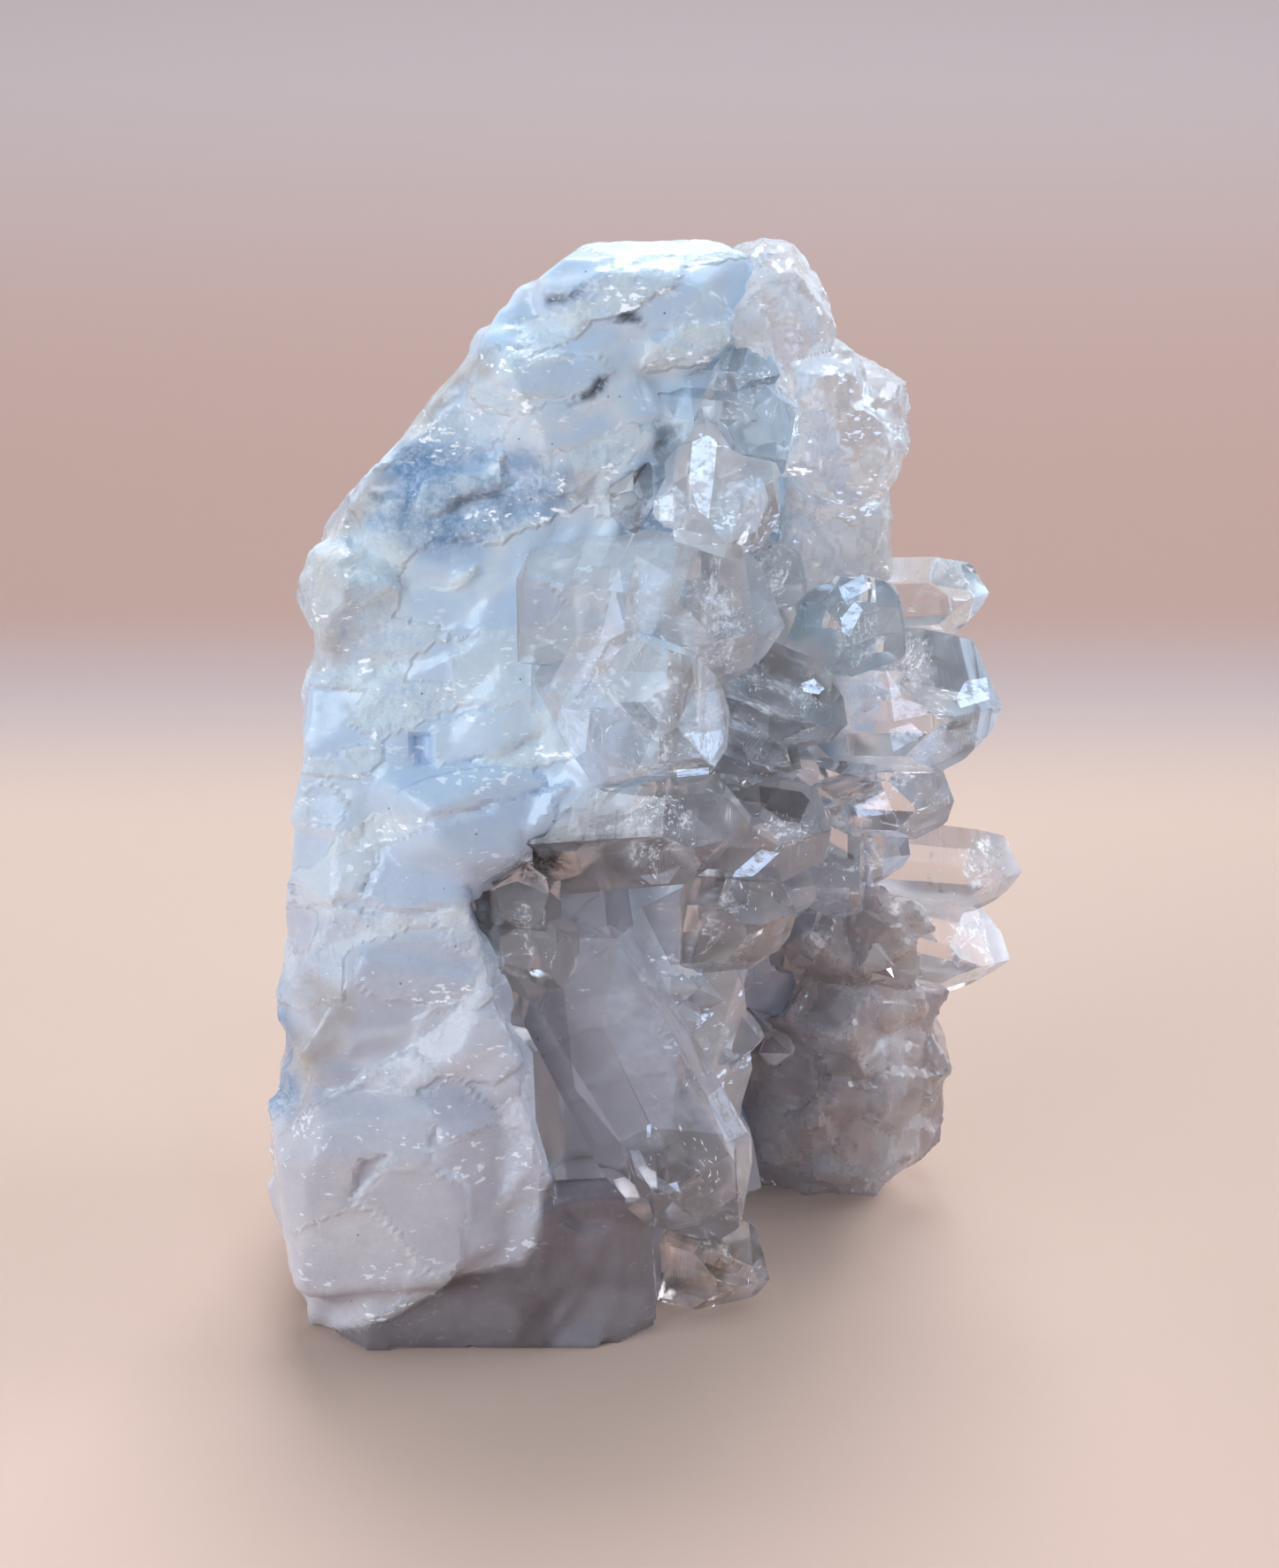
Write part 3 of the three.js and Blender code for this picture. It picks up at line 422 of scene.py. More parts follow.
class Nodes:
    """Short ways to add linked nodes to a node tree."""

    def __init__(self, tree):
        self.tree = tree

    def add(self, kind, **settings):
        node = self.tree.nodes.new("ShaderNode" + kind)
        for name, value in settings.items():
            setattr(node, name, value)
        return node

    def put(self, socket, value):
        """Link a socket to another, or set its value, where a colour needs its first three numbers only."""
        if isinstance(value, bpy.types.NodeSocket):
            self.tree.links.new(value, socket)
        else:
            socket.default_value = (*value, 1.0) if socket.type == "RGBA" else value

    def fill(self, node, **values):
        """Put a value or a link into each named input. An underscore stands for a space."""
        for name, value in values.items():
            self.put(node.inputs[name.replace("_", " ")], value)

    def placed(self, group_tree, **values):
        """A node group with its inputs filled in: its one output."""
        node = self.add("Group", node_tree=group_tree)
        self.fill(node, **values)
        return node.outputs[0]

    def math(self, operation, a, b, clamp=False):
        node = self.add("Math", operation=operation, use_clamp=clamp)
        self.put(node.inputs[0], a)
        self.put(node.inputs[1], b)
        return node.outputs[0]

    def plus(self, a, b, clamp=False):
        return self.math("ADD", a, b, clamp)

    def minus(self, a, b):
        return self.math("SUBTRACT", a, b)

    def times(self, a, b, clamp=False):
        return self.math("MULTIPLY", a, b, clamp)

    def span(self, value, low, high, to_low=0.0, to_high=1.0):
        """Smoothly maps low..high to to_low..to_high."""
        node = self.add("MapRange", interpolation_type="SMOOTHSTEP")
        for socket, given in zip(node.inputs, (value, low, high, to_low, to_high)):
            self.put(socket, given)
        return node.outputs[0]

    def mix(self, share, a, b, way="MIX"):
        """From colour a to colour b, by a share that is held from 0 to 1."""
        node = self.add("Mix", data_type="RGBA", blend_type=way)
        for number, value in ((0, share), (6, a), (7, b)):
            self.put(node.inputs[number], value)
        return node.outputs[2]

    def tinted(self, share, colour, tint):
        """From the colour to the colour times the tint."""
        return self.mix(share, colour, tint, "MULTIPLY")

    def noise(self, vector, scale, detail=3.0, rough=0.55):
        node = self.add("TexNoise")
        self.fill(node, Vector=vector, Scale=scale, Detail=detail, Roughness=rough)
        return node.outputs["Fac"]

    def cells(self, vector, scale):
        """Voronoi cells: how far the nearest seed is, and three random numbers for each cell."""
        node, parts = self.add("TexVoronoi"), self.add("SeparateColor")
        self.fill(node, Vector=vector, Scale=scale)
        self.put(parts.inputs[0], node.outputs["Color"])
        return node.outputs["Distance"], parts.outputs

    def stretched(self, vector, factors):
        node = self.add("VectorMath", operation="MULTIPLY")
        self.put(node.inputs[0], vector)
        self.put(node.inputs[1], factors)
        return node.outputs[0]

    def part(self, vector, number):
        """One coordinate of a vector: 0 to the right, 1 to the back, 2 up."""
        node = self.add("SeparateXYZ")
        self.put(node.inputs[0], vector)
        return node.outputs[number]

    def attribute(self, name):
        return self.add("Attribute", attribute_name=name).outputs["Fac"]

    def bump(self, height, strength, distance):
        node = self.add("Bump")
        self.fill(node, Strength=strength, Distance=distance, Height=height)
        return node.outputs["Normal"]


def group(name, output, **sizes):
    """A shader node group that takes a Vector and the named numbers: its nodes, the sockets that it is
    given, and its one output."""
    tree = bpy.data.node_groups.new(name, "ShaderNodeTree")
    tree.interface.new_socket("Vector", in_out="INPUT", socket_type="NodeSocketVector")
    for label, value in sizes.items():
        tree.interface.new_socket(label, in_out="INPUT", socket_type="NodeSocketFloat").default_value = value
    tree.interface.new_socket(output, in_out="OUTPUT", socket_type="NodeSocketFloat")
    given, out = tree.nodes.new("NodeGroupInput"), tree.nodes.new("NodeGroupOutput")
    return Nodes(tree), given.outputs, out.inputs[output]


def make_specks():
    """Tiny dark mineral specks: dots round the seeds of a Voronoi pattern, in a random few of its cells."""
    n, given, mask = group("mineral_specks", "Mask", Size=700.0, Share=0.1)
    distance, random = n.cells(given["Vector"], given["Size"])
    chosen = n.math("LESS_THAN", random[0], given["Share"])
    n.put(mask, n.times(n.span(distance, 0.07, 0.15, 1.0, 0.0), chosen))
    return n.tree


def make_sparkle():
    """Painted glints of sparkling grains: short level dashes where fine noise is highest, thickest in ragged
    strips.
    """
    n, given, mask = group("sparkle", "Mask", Size=1700.0, Share=0.5)
    level = n.stretched(given["Vector"], (0.6, 0.6, 1.25))
    strips = n.span(n.noise(level, 250.0, 4.0, 0.65), 0.46, 0.66)
    grains = n.noise(level, given["Size"], 2.0, 0.6)
    lift = n.times(n.times(strips, given["Share"]), 0.17)
    n.put(mask, n.span(n.plus(grains, lift), 0.715, 0.755))
    return n.tree


def make_grain():
    """Grainy fracture relief: the height of many small tilted grains, on top of soft noise."""
    n, given, height = group("fracture_grain", "Height", Size=900.0, Grain=0.5)
    distance, random = n.cells(given["Vector"], given["Size"])
    tilted = n.times(distance, n.minus(random[1], 0.5))
    soft = n.noise(given["Vector"], 480.0, 4.0, 0.6)
    n.put(height, n.plus(soft, n.times(tilted, given["Grain"])))
    return n.tree


def make_growth():
    """A crystal face's own relief: fine lines across its axis where it is a side face, and shallow waves."""
    n, given, height = group("crystal_growth", "Height", Along=0.0, Side=1.0, Wave=0.3)
    place = n.add("CombineXYZ")
    n.put(place.inputs[0], n.plus(given["Along"], n.times(n.noise(given["Vector"], 90.0, 2.0), 0.35)))
    lines = n.noise(place.outputs[0], 4.2, 4.0, 0.7)
    patches = n.span(n.noise(given["Vector"], 160.0, 2.0), 0.42, 0.6)
    waves = n.times(n.noise(given["Vector"], 210.0, 2.0), given["Wave"])
    n.put(height, n.plus(n.times(n.times(lines, given["Side"]), patches), waves))
    return n.tree


SPECKS, SPARKLE, GRAIN, GROWTH = make_specks(), make_sparkle(), make_grain(), make_growth()


def new_material(name):
    """A material whose surface is one Principled shader: the material, its nodes, its output's sockets,
    the shader, and the object's own coordinates."""
    material = bpy.data.materials.new(name)
    material.use_nodes = True
    material.node_tree.nodes.clear()
    n = Nodes(material.node_tree)
    output, skin = n.add("OutputMaterial").inputs, n.add("BsdfPrincipled")
    n.put(output["Surface"], skin.outputs[0])
    return material, n, output, skin, n.add("TexCoord").outputs["Object"]


def milky_material():
    """Milky quartz: pale blue, each flake of its own tone, smooth flakes darker and glossier than the grainy
    ground with its painted glints; slate patches, cracks, stains and specks, and painted shade in a gap,
    under a flake and on a recess wall. Bluer and lighter towards the top, greyer and darker low down:
    painted light and shade."""
    material, n, _, skin, place = new_material("milky_quartz")
    # Painted light and shade: the colours are bluer and lighter towards the top, greyer and darker low down.
    rise = n.span(n.part(place, 2), 0.018, 0.055)
    pale = n.mix(rise, (0.82, 0.82, 0.88), (0.79, 0.92, 1.0))
    deep = n.mix(rise, (0.48, 0.485, 0.57), (0.53, 0.71, 0.96))
    fine = n.noise(place, 700.0, 5.0, 0.7)
    cloud = n.noise(place, 130.0, 4.0, 0.6)
    dashes = n.noise(n.stretched(place, (0.6, 0.6, 1.3)), 520.0, 5.0, 0.72)
    ground = n.minus(1.0, n.attribute("polish"))
    tone = n.plus(n.attribute("tone"), n.times(n.minus(cloud, 0.5), 0.7))
    tone = n.plus(tone, n.times(n.minus(dashes, 0.5), n.span(ground, 0.0, 1.0, 0.2, 1.1)))
    grainy = n.times(n.minus(fine, 0.5), n.times(ground, 0.9))
    colour = n.mix(n.plus(tone, grainy, clamp=True), deep, pale)
    lips = n.times(n.attribute("lip"), n.span(cloud, 0.40, 0.62, 0.1, 0.6))
    colour = n.mix(lips, colour, (0.84, 0.90, 0.97))
    veined = n.span(n.noise(place, 420.0, 6.0, 0.8), 0.38, 0.60, 0.25, 1.0)
    colour = n.mix(n.times(n.attribute("slate"), veined), colour, (0.09, 0.26, 0.50))
    cream = n.times(n.attribute("cream"), n.span(fine, 0.3, 0.6, 0.35, 1.0))
    colour = n.mix(cream, colour, (0.50, 0.46, 0.42))
    # Dark cracks, and painted shade: the shadow under the tongue flake and the gap round the window crystal.
    cracks_and_shade = n.times(n.attribute("crack_and_shade"), n.span(fine, 0.3, 0.5))
    colour = n.mix(cracks_and_shade, colour, (0.07, 0.10, 0.15))
    rust = n.times(n.attribute("rust"), n.span(n.noise(place, 900.0, 5.0, 0.8), 0.46, 0.56))
    colour = n.mix(rust, colour, RUST)
    colour = n.mix(n.times(n.placed(SPECKS, Vector=place, Size=1100.0, Share=0.03), 0.7), colour, SPECK)
    pane = n.plus(n.attribute("tone"), n.times(n.minus(fine, 0.5), 0.35), clamp=True)
    pane = n.mix(pane, (0.125, 0.098, 0.105), (0.37, 0.345, 0.39))
    # The foot block's dark panes; the same dark colour is painted as shade on a recess wall between the
    # crystals.
    colour = n.mix(n.attribute("block"), colour, pane)
    # Painted glints: the sparkles whiten the colour and give out a faint blue light.
    sparkle = n.placed(SPARKLE, Vector=place, Size=1700.0, Share=1.0)
    sparkle = n.times(sparkle, n.span(ground, 0.0, 1.0, 0.25, 1.0))
    sparkle = n.times(sparkle, n.span(n.attribute("block"), 0.0, 1.0, 1.0, 0.25))
    grain = n.plus(n.placed(GRAIN, Vector=place, Size=1500.0, Grain=1.2), dashes)
    n.fill(
        skin,
        Base_Color=n.mix(sparkle, colour, WHITE),
        Roughness=n.span(ground, 0.0, 1.0, 0.25, 0.45),
        Coat_Weight=n.span(n.attribute("block"), 0.0, 1.0, 0.15, 0.4),
        Coat_Roughness=0.12,
        IOR=QUARTZ_IOR,
        Subsurface_Weight=0.25,
        Subsurface_Radius=(1.0, 1.0, 1.1),
        Subsurface_Scale=0.0008,
        Emission_Color=n.mix(sparkle, BLACK, (0.20, 0.26, 0.34)),
        Emission_Strength=1.0,
        Normal=n.bump(n.times(grain, n.span(ground, 0.0, 1.0, 0.1, 1.0)), 0.5, 0.0006),
    )
    return material


def quartz_material(
    name, tint, see_through, gloss, absorbs, density, fall, facets, wave=0.3, cloud=0.0, sparkle=0.0
):
    """See-through quartz: refraction and absorption, facets of differing painted shade with painted warm and
    cool reflections, growth lines, painted highlights that give out light, and light that passes into its
    shade. Low down only a share of its brightness is left, the fall, a painted shade that is a little warmer."""
    material, n, output, skin, place = new_material(name)
    haze = n.noise(place, 150.0, 5.0, 0.65)
    along, side = n.attribute("along"), n.attribute("side")
    growth = n.placed(GROWTH, Vector=place, Along=along, Side=side, Wave=wave)
    # Painted shade: below 56 mm up the tint falls towards a darker, slightly warmer share, fully so below 36
    # mm.
    warm = tuple(part * shade * fall for part, shade in zip(tint, (1.06, 0.98, 0.97)))
    colour = n.mix(n.span(n.part(place, 2), 0.036, 0.056), warm, tint)
    colour = n.mix(n.span(growth, 0.42, 0.62, 0.0, 0.25), colour, (0.98, 0.98, 0.98))
    colour = n.mix(n.span(haze, 0.42, 0.7, 0.0, cloud), colour, (0.98, 0.98, 0.98))
    # Painted shade of the facets, and painted warm and cool reflections where the tint attribute says.
    colour = n.tinted(n.times(n.attribute("facet"), 0.9 * facets), colour, (0.25, 0.23, 0.235))
    colour = n.tinted(n.times(n.attribute("painted_warmth"), 0.5), colour, (1.0, 0.76, 0.62))
    colour = n.tinted(n.times(n.attribute("painted_warmth"), -0.8), colour, (0.62, 0.80, 1.0))
    colour = n.mix(n.times(n.placed(SPECKS, Vector=place, Size=620.0, Share=0.035), 0.7), colour, SPECK)
    dirt = n.add("VectorMath", operation="DISTANCE")
    n.put(dirt.inputs[0], n.stretched(place, (0.6, 1.0, 1.3)))
    n.put(dirt.inputs[1], (-0.0059, -0.0165, 0.0538))
    crumbs = n.span(n.noise(place, 800.0, 5.0, 0.8), 0.44, 0.56)
    rusty = n.times(n.span(dirt.outputs["Value"], 0.001, 0.0034, 1.0, 0.0), crumbs)
    broken = n.span(n.noise(n.stretched(place, (1.0, 1.0, 1.6)), 950.0, 3.0, 0.7), 0.38, 0.56, 0.15, 0.65)
    # Painted highlights: the glow attribute and the sparkle glints are given out as pale blue light.
    light = n.times(n.attribute("glow"), broken)
    if sparkle:
        light = n.plus(light, n.times(n.placed(SPARKLE, Vector=place, Size=1500.0, Share=1.0), sparkle))
    n.fill(
        skin,
        Base_Color=n.mix(rusty, colour, RUST),
        Roughness=n.span(haze, 0.35, 0.7, *gloss),
        Transmission_Weight=see_through,
        IOR=QUARTZ_IOR,
        Emission_Color=n.mix(light, BLACK, (0.5, 0.68, 1.0)),
        Emission_Strength=1.0,
        Normal=n.bump(growth, 0.45, 0.00012),
    )
    clear, inside, choice = n.add("BsdfTransparent"), n.add("VolumeAbsorption"), n.add("MixShader")
    n.fill(clear, Color=(0.97, 0.97, 0.97))
    n.fill(inside, Color=absorbs, Density=density)
    n.put(choice.inputs[0], n.add("LightPath").outputs["Is Shadow Ray"])
    n.put(choice.inputs[1], skin.outputs[0])
    n.put(choice.inputs[2], clear.outputs[0])
    n.put(output["Surface"], choice.outputs[0])
    n.put(output["Volume"], inside.outputs[0])
    return material


def veil_material():
    """A veil inside a crystal: a broken film of tiny bubbles and cracks that fades out, with painted glitter
    that gives out a faint light.
    """
    material, n, _, skin, place = new_material("veils")
    patches = n.span(n.noise(place, 260.0, 4.0, 0.7), 0.44, 0.60)
    threads = n.span(n.noise(place, 1300.0, 3.0, 0.7), 0.50, 0.60, 0.12, 1.0)
    film = n.times(n.times(patches, threads), n.attribute("fade"))
    # Painted glints: the veil's threads give out a faint pale light.
    glow = n.mix(threads, (0.5, 0.55, 0.62), (0.85, 0.92, 1.0))
    n.fill(
        skin,
        Base_Color=n.mix(n.attribute("gold"), (0.95, 0.97, 1.0), (0.42, 0.27, 0.12)),
        Roughness=0.28,
        Alpha=n.times(film, 0.9, clamp=True),
        Emission_Color=n.mix(n.attribute("gold"), glow, (0.45, 0.28, 0.12)),
        Emission_Strength=0.18,
        Normal=n.bump(n.placed(GRAIN, Vector=place, Size=1600.0, Grain=1.0), 0.9, 0.0004),
    )
    return material


def glint_material():
    """Painted highlights: bright flecks that give out light, where small fractures inside a crystal mirror
    the light.
    """
    material, n, _, skin, place = new_material("fracture_glints")
    shade = n.mix(n.noise(place, 300.0, 2.0), (0.75, 0.86, 1.0), (1.0, 0.98, 0.96))
    n.fill(skin, Base_Color=shade, Roughness=0.2, Emission_Color=shade, Emission_Strength=0.35)
    return material


def edge_material():
    """The worn, faintly frosted edges between a crystal's faces, with painted highlights in patches of them.
    """
    material, n, _, skin, place = new_material("worn_highlit_edges")
    wear_and_highlight = n.noise(place, 500.0, 3.0)
    n.fill(
        skin,
        Base_Color=n.mix(n.span(wear_and_highlight, 0.35, 0.65), (0.88, 0.92, 0.96), (0.99, 1.0, 1.0)),
        Roughness=n.span(wear_and_highlight, 0.3, 0.7, 0.06, 0.25),
        Transmission_Weight=0.25,
        IOR=QUARTZ_IOR,
        # Painted highlight: in patches the edges give out pale blue light.
        Emission_Color=n.mix(n.span(wear_and_highlight, 0.45, 0.6), (0.02, 0.02, 0.03), (0.40, 0.44, 0.52)),
        Emission_Strength=1.0,
    )
    return material


# The kinds of see-through quartz: tint, share that is see-through, least and greatest roughness, colour
# and density of its absorption, and what else differs.
# Of what else differs, fall is a painted shade low down, facets is how strongly the painted facet shade
# shows, and sparkle is how bright the painted glints are.
QUARTZ = {
    "clear": (
        (0.99, 0.99, 1.0), 0.9, (0.0, 0.05), (0.9, 0.92, 0.95), 3.0,
        {"cloud": 0.45, "fall": 0.95, "facets": 0.3},
    ),
    # Tinted blue: a painted reflection of the cool sky light on crystals high up.
    "sky": (
        (0.80, 0.91, 1.0), 0.76, (0.0, 0.06), (0.86, 0.92, 1.0), 8.0,
        {"cloud": 0.4, "fall": 0.9, "facets": 0.7},
    ),
    "bright": (
        (0.95, 0.97, 1.0), 0.62, (0.0, 0.06), (0.9, 0.95, 1.0), 4.0,
        {"cloud": 0.5, "fall": 0.9, "facets": 0.75, "sparkle": 0.5},
    ),
    "floor": ((1.0, 0.95, 0.91), 0.93, (0.0, 0.05), (0.88, 0.76, 0.70), 20.0, {"fall": 1.0, "facets": 0.9}),
    "cloudy": (
        (0.97, 0.97, 0.99), 0.73, (0.0, 0.08), (0.9, 0.92, 0.95), 6.0,
        {"cloud": 0.5, "fall": 0.85, "facets": 0.6, "sparkle": 0.15},
    ),
    # Painted shade: a darker copy of clear quartz, with strong greyish absorption and a low fall, for
    # crystals low down under the overhang.
    "shaded_grey": ((0.95, 0.95, 0.96), 0.84, (0.0, 0.06), (0.66, 0.64, 0.65), 30.0, {"fall": 0.85, "facets": 0.7}),
    "hazy": (
        (0.97, 0.98, 1.0), 0.54, (0.08, 0.3), (0.87, 0.87, 0.9), 9.0,
        {"wave": 0.5, "cloud": 0.85, "fall": 0.72, "facets": 0.25, "sparkle": 0.6},
    ),
    "bank": (
        (0.80, 0.74, 0.74), 0.5, (0.12, 0.35), (0.85, 0.82, 0.82), 12.0,
        {"wave": 0.6, "cloud": 0.5, "fall": 0.72, "facets": 0.3},
    ),
    "smoky": ((0.93, 0.92, 0.92), 0.9, (0.0, 0.06), (0.5, 0.49, 0.51), 50.0, {"fall": 0.9, "facets": 0.7}),
}
MATERIALS = {
    "edge": edge_material(), "milky": milky_material(), "veil": veil_material(), "glint": glint_material(),
}
for kind, (*body, others) in QUARTZ.items():
    MATERIALS[kind] = quartz_material(kind + "_quartz", *body, **others)


# ---- Shaping tools -------------------------------------------------------------------------------

CRYSTAL_NODES = [name for name in sorted(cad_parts) if name != "milky_slab"]
CORE_TOP = 17.0  # mm, up to where a filled node's core reaches
TO_FRONT = -0.02  # a face looks to the front where its normal's share along VIEW is less than this


def nearest_face(nodes, points):
    """How far points are from the nearest face of CAD nodes, in mm, and below 0 where they lie behind that
    face, inside the solid. A geometry-node modifier on a cloud of the points measures them all at once."""
    work = bmesh.new()
    for node in nodes:
        work.from_mesh(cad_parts[node].data)
    solid, cloud = to_new_mesh(work, "solid_work"), bpy.data.meshes.new("cloud_work")
    cloud.vertices.add(len(points))
    set_coordinates(cloud, points)
    target, holder = in_scene("solid_work", solid), in_scene("cloud_work", cloud)
    tree = bpy.data.node_groups.new("nearest_face", "GeometryNodeTree")
    for way in ("INPUT", "OUTPUT"):
        tree.interface.new_socket("Geometry", in_out=way, socket_type="NodeSocketGeometry")
    given, out = tree.nodes.new("NodeGroupInput"), tree.nodes.new("NodeGroupOutput")
    source = tree.nodes.new("GeometryNodeObjectInfo")
    source.inputs["Object"].default_value = target
    near = tree.nodes.new("GeometryNodeProximity")
    face = tree.nodes.new("GeometryNodeSampleNearestSurface")
    face.data_type = "FLOAT_VECTOR"
    tree.links.new(source.outputs["Geometry"], near.inputs[0])
    tree.links.new(source.outputs["Geometry"], face.inputs["Mesh"])
    tree.links.new(tree.nodes.new("GeometryNodeInputNormal").outputs["Normal"], face.inputs["Value"])
    last = given.outputs[0]
    for name, value in (("spot", near.outputs["Position"]), ("facing", face.outputs["Value"])):
        keep = tree.nodes.new("GeometryNodeStoreNamedAttribute")
        keep.data_type = "FLOAT_VECTOR"
        keep.inputs["Name"].default_value = name
        tree.links.new(value, keep.inputs["Value"])
        tree.links.new(last, keep.inputs["Geometry"])
        last = keep.outputs["Geometry"]
    tree.links.new(last, out.inputs[0])
    holder.modifiers.new("measure", "NODES").node_group = tree
    found = holder.evaluated_get(bpy.context.evaluated_depsgraph_get()).data.attributes
    away = points - vectors(found["spot"].data, "vector") / MM
    behind = np.sum(away * vectors(found["facing"].data, "vector"), axis=1) < 0
    for helper in (target, holder):
        bpy.data.objects.remove(helper)
    for helper in (solid, cloud):
        bpy.data.meshes.remove(helper)
    bpy.data.node_groups.remove(tree)
    return np.linalg.norm(away, axis=1) * np.where(behind, -1, 1)


def blob(points, middle, half):
    """1 at the middle of an ellipsoid and 0 beyond its surface, with a smooth fall between."""
    away = np.linalg.norm((points - np.array(middle)) / np.array(half), axis=1)
    return s_curve(np.clip(1.35 - away, 0, 1))


def on_face(points):
    """Where points lie on the leaning plane of the outlines: straight across, and up along the plane."""
    own = points - ORIGIN_SHIFT
    return np.stack([own[:, 0], RISE * own[:, 2] + LEAN * own[:, 1]], axis=1)


def inside_outline(flat, outline, soft):
    """1 inside a closed outline and 0 outside, blended across its line: the smallest distance to its
    sides, with a sign that changes each time a level line to the left crosses a side."""
    corners = np.array(outline, float)
    nearest = np.full(len(flat), np.inf)
    within = np.zeros(len(flat), bool)
    for a, b in zip(corners, np.roll(corners, -1, axis=0)):
        side = b - a
        share = np.clip((flat - a) @ side / (side @ side), 0, 1)
        nearest = np.minimum(nearest, np.linalg.norm(flat - a - share[:, None] * side, axis=1))
        crosses = (a[1] > flat[:, 1]) != (b[1] > flat[:, 1])
        at = a[0] + (flat[:, 1] - a[1]) * side[0] / np.where(side[1] == 0, 1, side[1])
        within ^= crosses & (flat[:, 0] < at)
    return np.clip(0.5 + np.where(within, nearest, -nearest) / soft, 0, 1)


def core_mesh(name, corners, share):
    """The smallest body without hollows round the corners, drawn in to a share of their width."""
    core = bmesh.new()
    for place in corners.mean(axis=0) + (corners - corners.mean(axis=0)) * share:
        core.verts.new((place[0], place[1], max(place[2], 0.0)))
    made = bmesh.ops.convex_hull(core, input=core.verts)
    spare = set(made["geom_interior"]) | set(made["geom_unused"])
    spare = [part for part in spare if isinstance(part, bmesh.types.BMVert)]
    bmesh.ops.delete(core, geom=spare, context="VERTS")
    bmesh.ops.recalc_face_normals(core, faces=core.faces)
    return to_new_mesh(core, name)


def even_mesh(node, voxel, filled=0.0):
    """A CAD node as an even mesh of small quads, lightly eased. Where it is filled, the core of its lowest
    part, drawn in to that share of its width, is joined to it."""
    work = merged(node)
    if filled:
        corners = np.array([vertex.co[:] for vertex in work.verts])
        work.from_mesh(core_mesh(node + "_core", corners[corners[:, 2] < CORE_TOP * MM], filled))
    helper = in_scene(node + "_work", to_new_mesh(work, node + "_work"))
    remesh = helper.modifiers.new("remesh", "REMESH")
    remesh.mode = "VOXEL"
    remesh.voxel_size = voxel * MM
    ease = helper.modifiers.new("ease", "SMOOTH")
    ease.factor = 0.5
    ease.iterations = 2
    shaped = helper.evaluated_get(bpy.context.evaluated_depsgraph_get())
    mesh = bpy.data.meshes.new_from_object(shaped)
    bpy.data.objects.remove(helper)
    return mesh


def finish_surface(mesh, points, sharp):
    """Moves the vertices to the points, none below the floor, and smooths all but edges sharper than an
    angle in degrees."""
    points[:, 2] = np.maximum(points[:, 2], 0)
    set_coordinates(mesh, points)
    mesh.shade_smooth()
    mesh.set_sharp_from_angle(angle=math.radians(sharp))


# ---- The milky slab ------------------------------------------------------------------------------


SLAB_VOXEL = 0.465  # mm, the grid of the slab's even mesh
SWELL = 0.15  # mm, how far the slab swells where it meets a crystal
PLAIN_BACK = 26  # mm in the crystals' own coordinates, behind which the slab has no patches


def slab_piece():
    """The slab: an even mesh whose points move along their normals by the heights of random fracture
    flakes of two sizes, and of the named flakes inside their outlines. Close to a crystal it swells a
    little, so that they are grown together."""
    mesh = even_mesh("milky_slab", SLAB_VOXEL)
    points, normals = coordinates(mesh), vectors(mesh.vertices, "normal")
    flat = on_face(points)
    turn = math.radians(18)
    lean = [[math.cos(turn), 0, -math.sin(turn)], [0, 1, 0], [math.sin(turn), 0, math.cos(turn)]]
    leaned = points @ np.array(lean)
    ragged = leaned + 0.3 * noise_rows(leaned, 1.1, (1, 2, 3))
    large, tone, lip = flakes(ragged, (8.0, 7.0, 3.1), 3)
    small, small_tone, _ = flakes(ragged, (2.1, 2.0, 1.1), 11)
    uneven = np.stack([small, large], axis=1)
    polish = np.clip((0.5 - tone) / 0.08, 0, 1)
    stand = 0.34 * large + (0.2 - 0.15 * polish) * small
    tone = 0.25 + 0.65 * tone * (1 - polish) + 0.4 * tone * polish + 0.22 * (small_tone - 0.5) * (1 - polish)
    front = np.clip((-normals @ VIEW - 0.05) / 0.15, 0, 1) * (points[:, 1] < 4)
    for height, own_tone, outline in FLAKES.values():
        inside = inside_outline(flat + 0.12 * uneven, outline, 0.42) * front
        slope = 0.035 * ((flat - np.mean(outline, axis=0)) @ np.array([0.8, -0.6]))
        stand = blend(stand, height + slope + 0.02 * small, inside)
        tone = blend(tone, own_tone, inside)
        polish = np.maximum(polish * (1 - inside), (0.6 if height < 0.4 else 0.8) * inside)
        lip = np.maximum(lip * (1 - inside), 1 - np.abs(2 * inside - 1))
    block = inside_outline(flat, FOOT_BLOCK, 0.4) * front
    stand = blend(stand, 0.03 * small, block)
    grown = np.clip((1.1 - np.abs(nearest_face(CRYSTAL_NODES, points))) / 0.6, 0, 1)
    above = np.clip(points[:, 2] / 1.5, 0, 1) * (normals[:, 2] > -0.8)
    points += normals * (blend(stand, SWELL, grown) * above)[:, None]
    shade = np.full(len(points), 0.48)
    for own_tone, outline in BLOCK_PANES:
        shade = blend(shade, own_tone, inside_outline(flat + 0.25 * uneven, outline, 1.1))
    finish_surface(mesh, points, 34)
    add_attribute(mesh, "tone", blend(tone, shade, block))
    add_attribute(mesh, "lip", lip * (1 - block))
    add_attribute(mesh, "polish", np.maximum(polish, block))
    paint_slab(mesh, flat, points - ORIGIN_SHIFT, block)
    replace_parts(new_piece("milky_quartz_slab", mesh, MATERIALS["milky"]), "milky_slab")


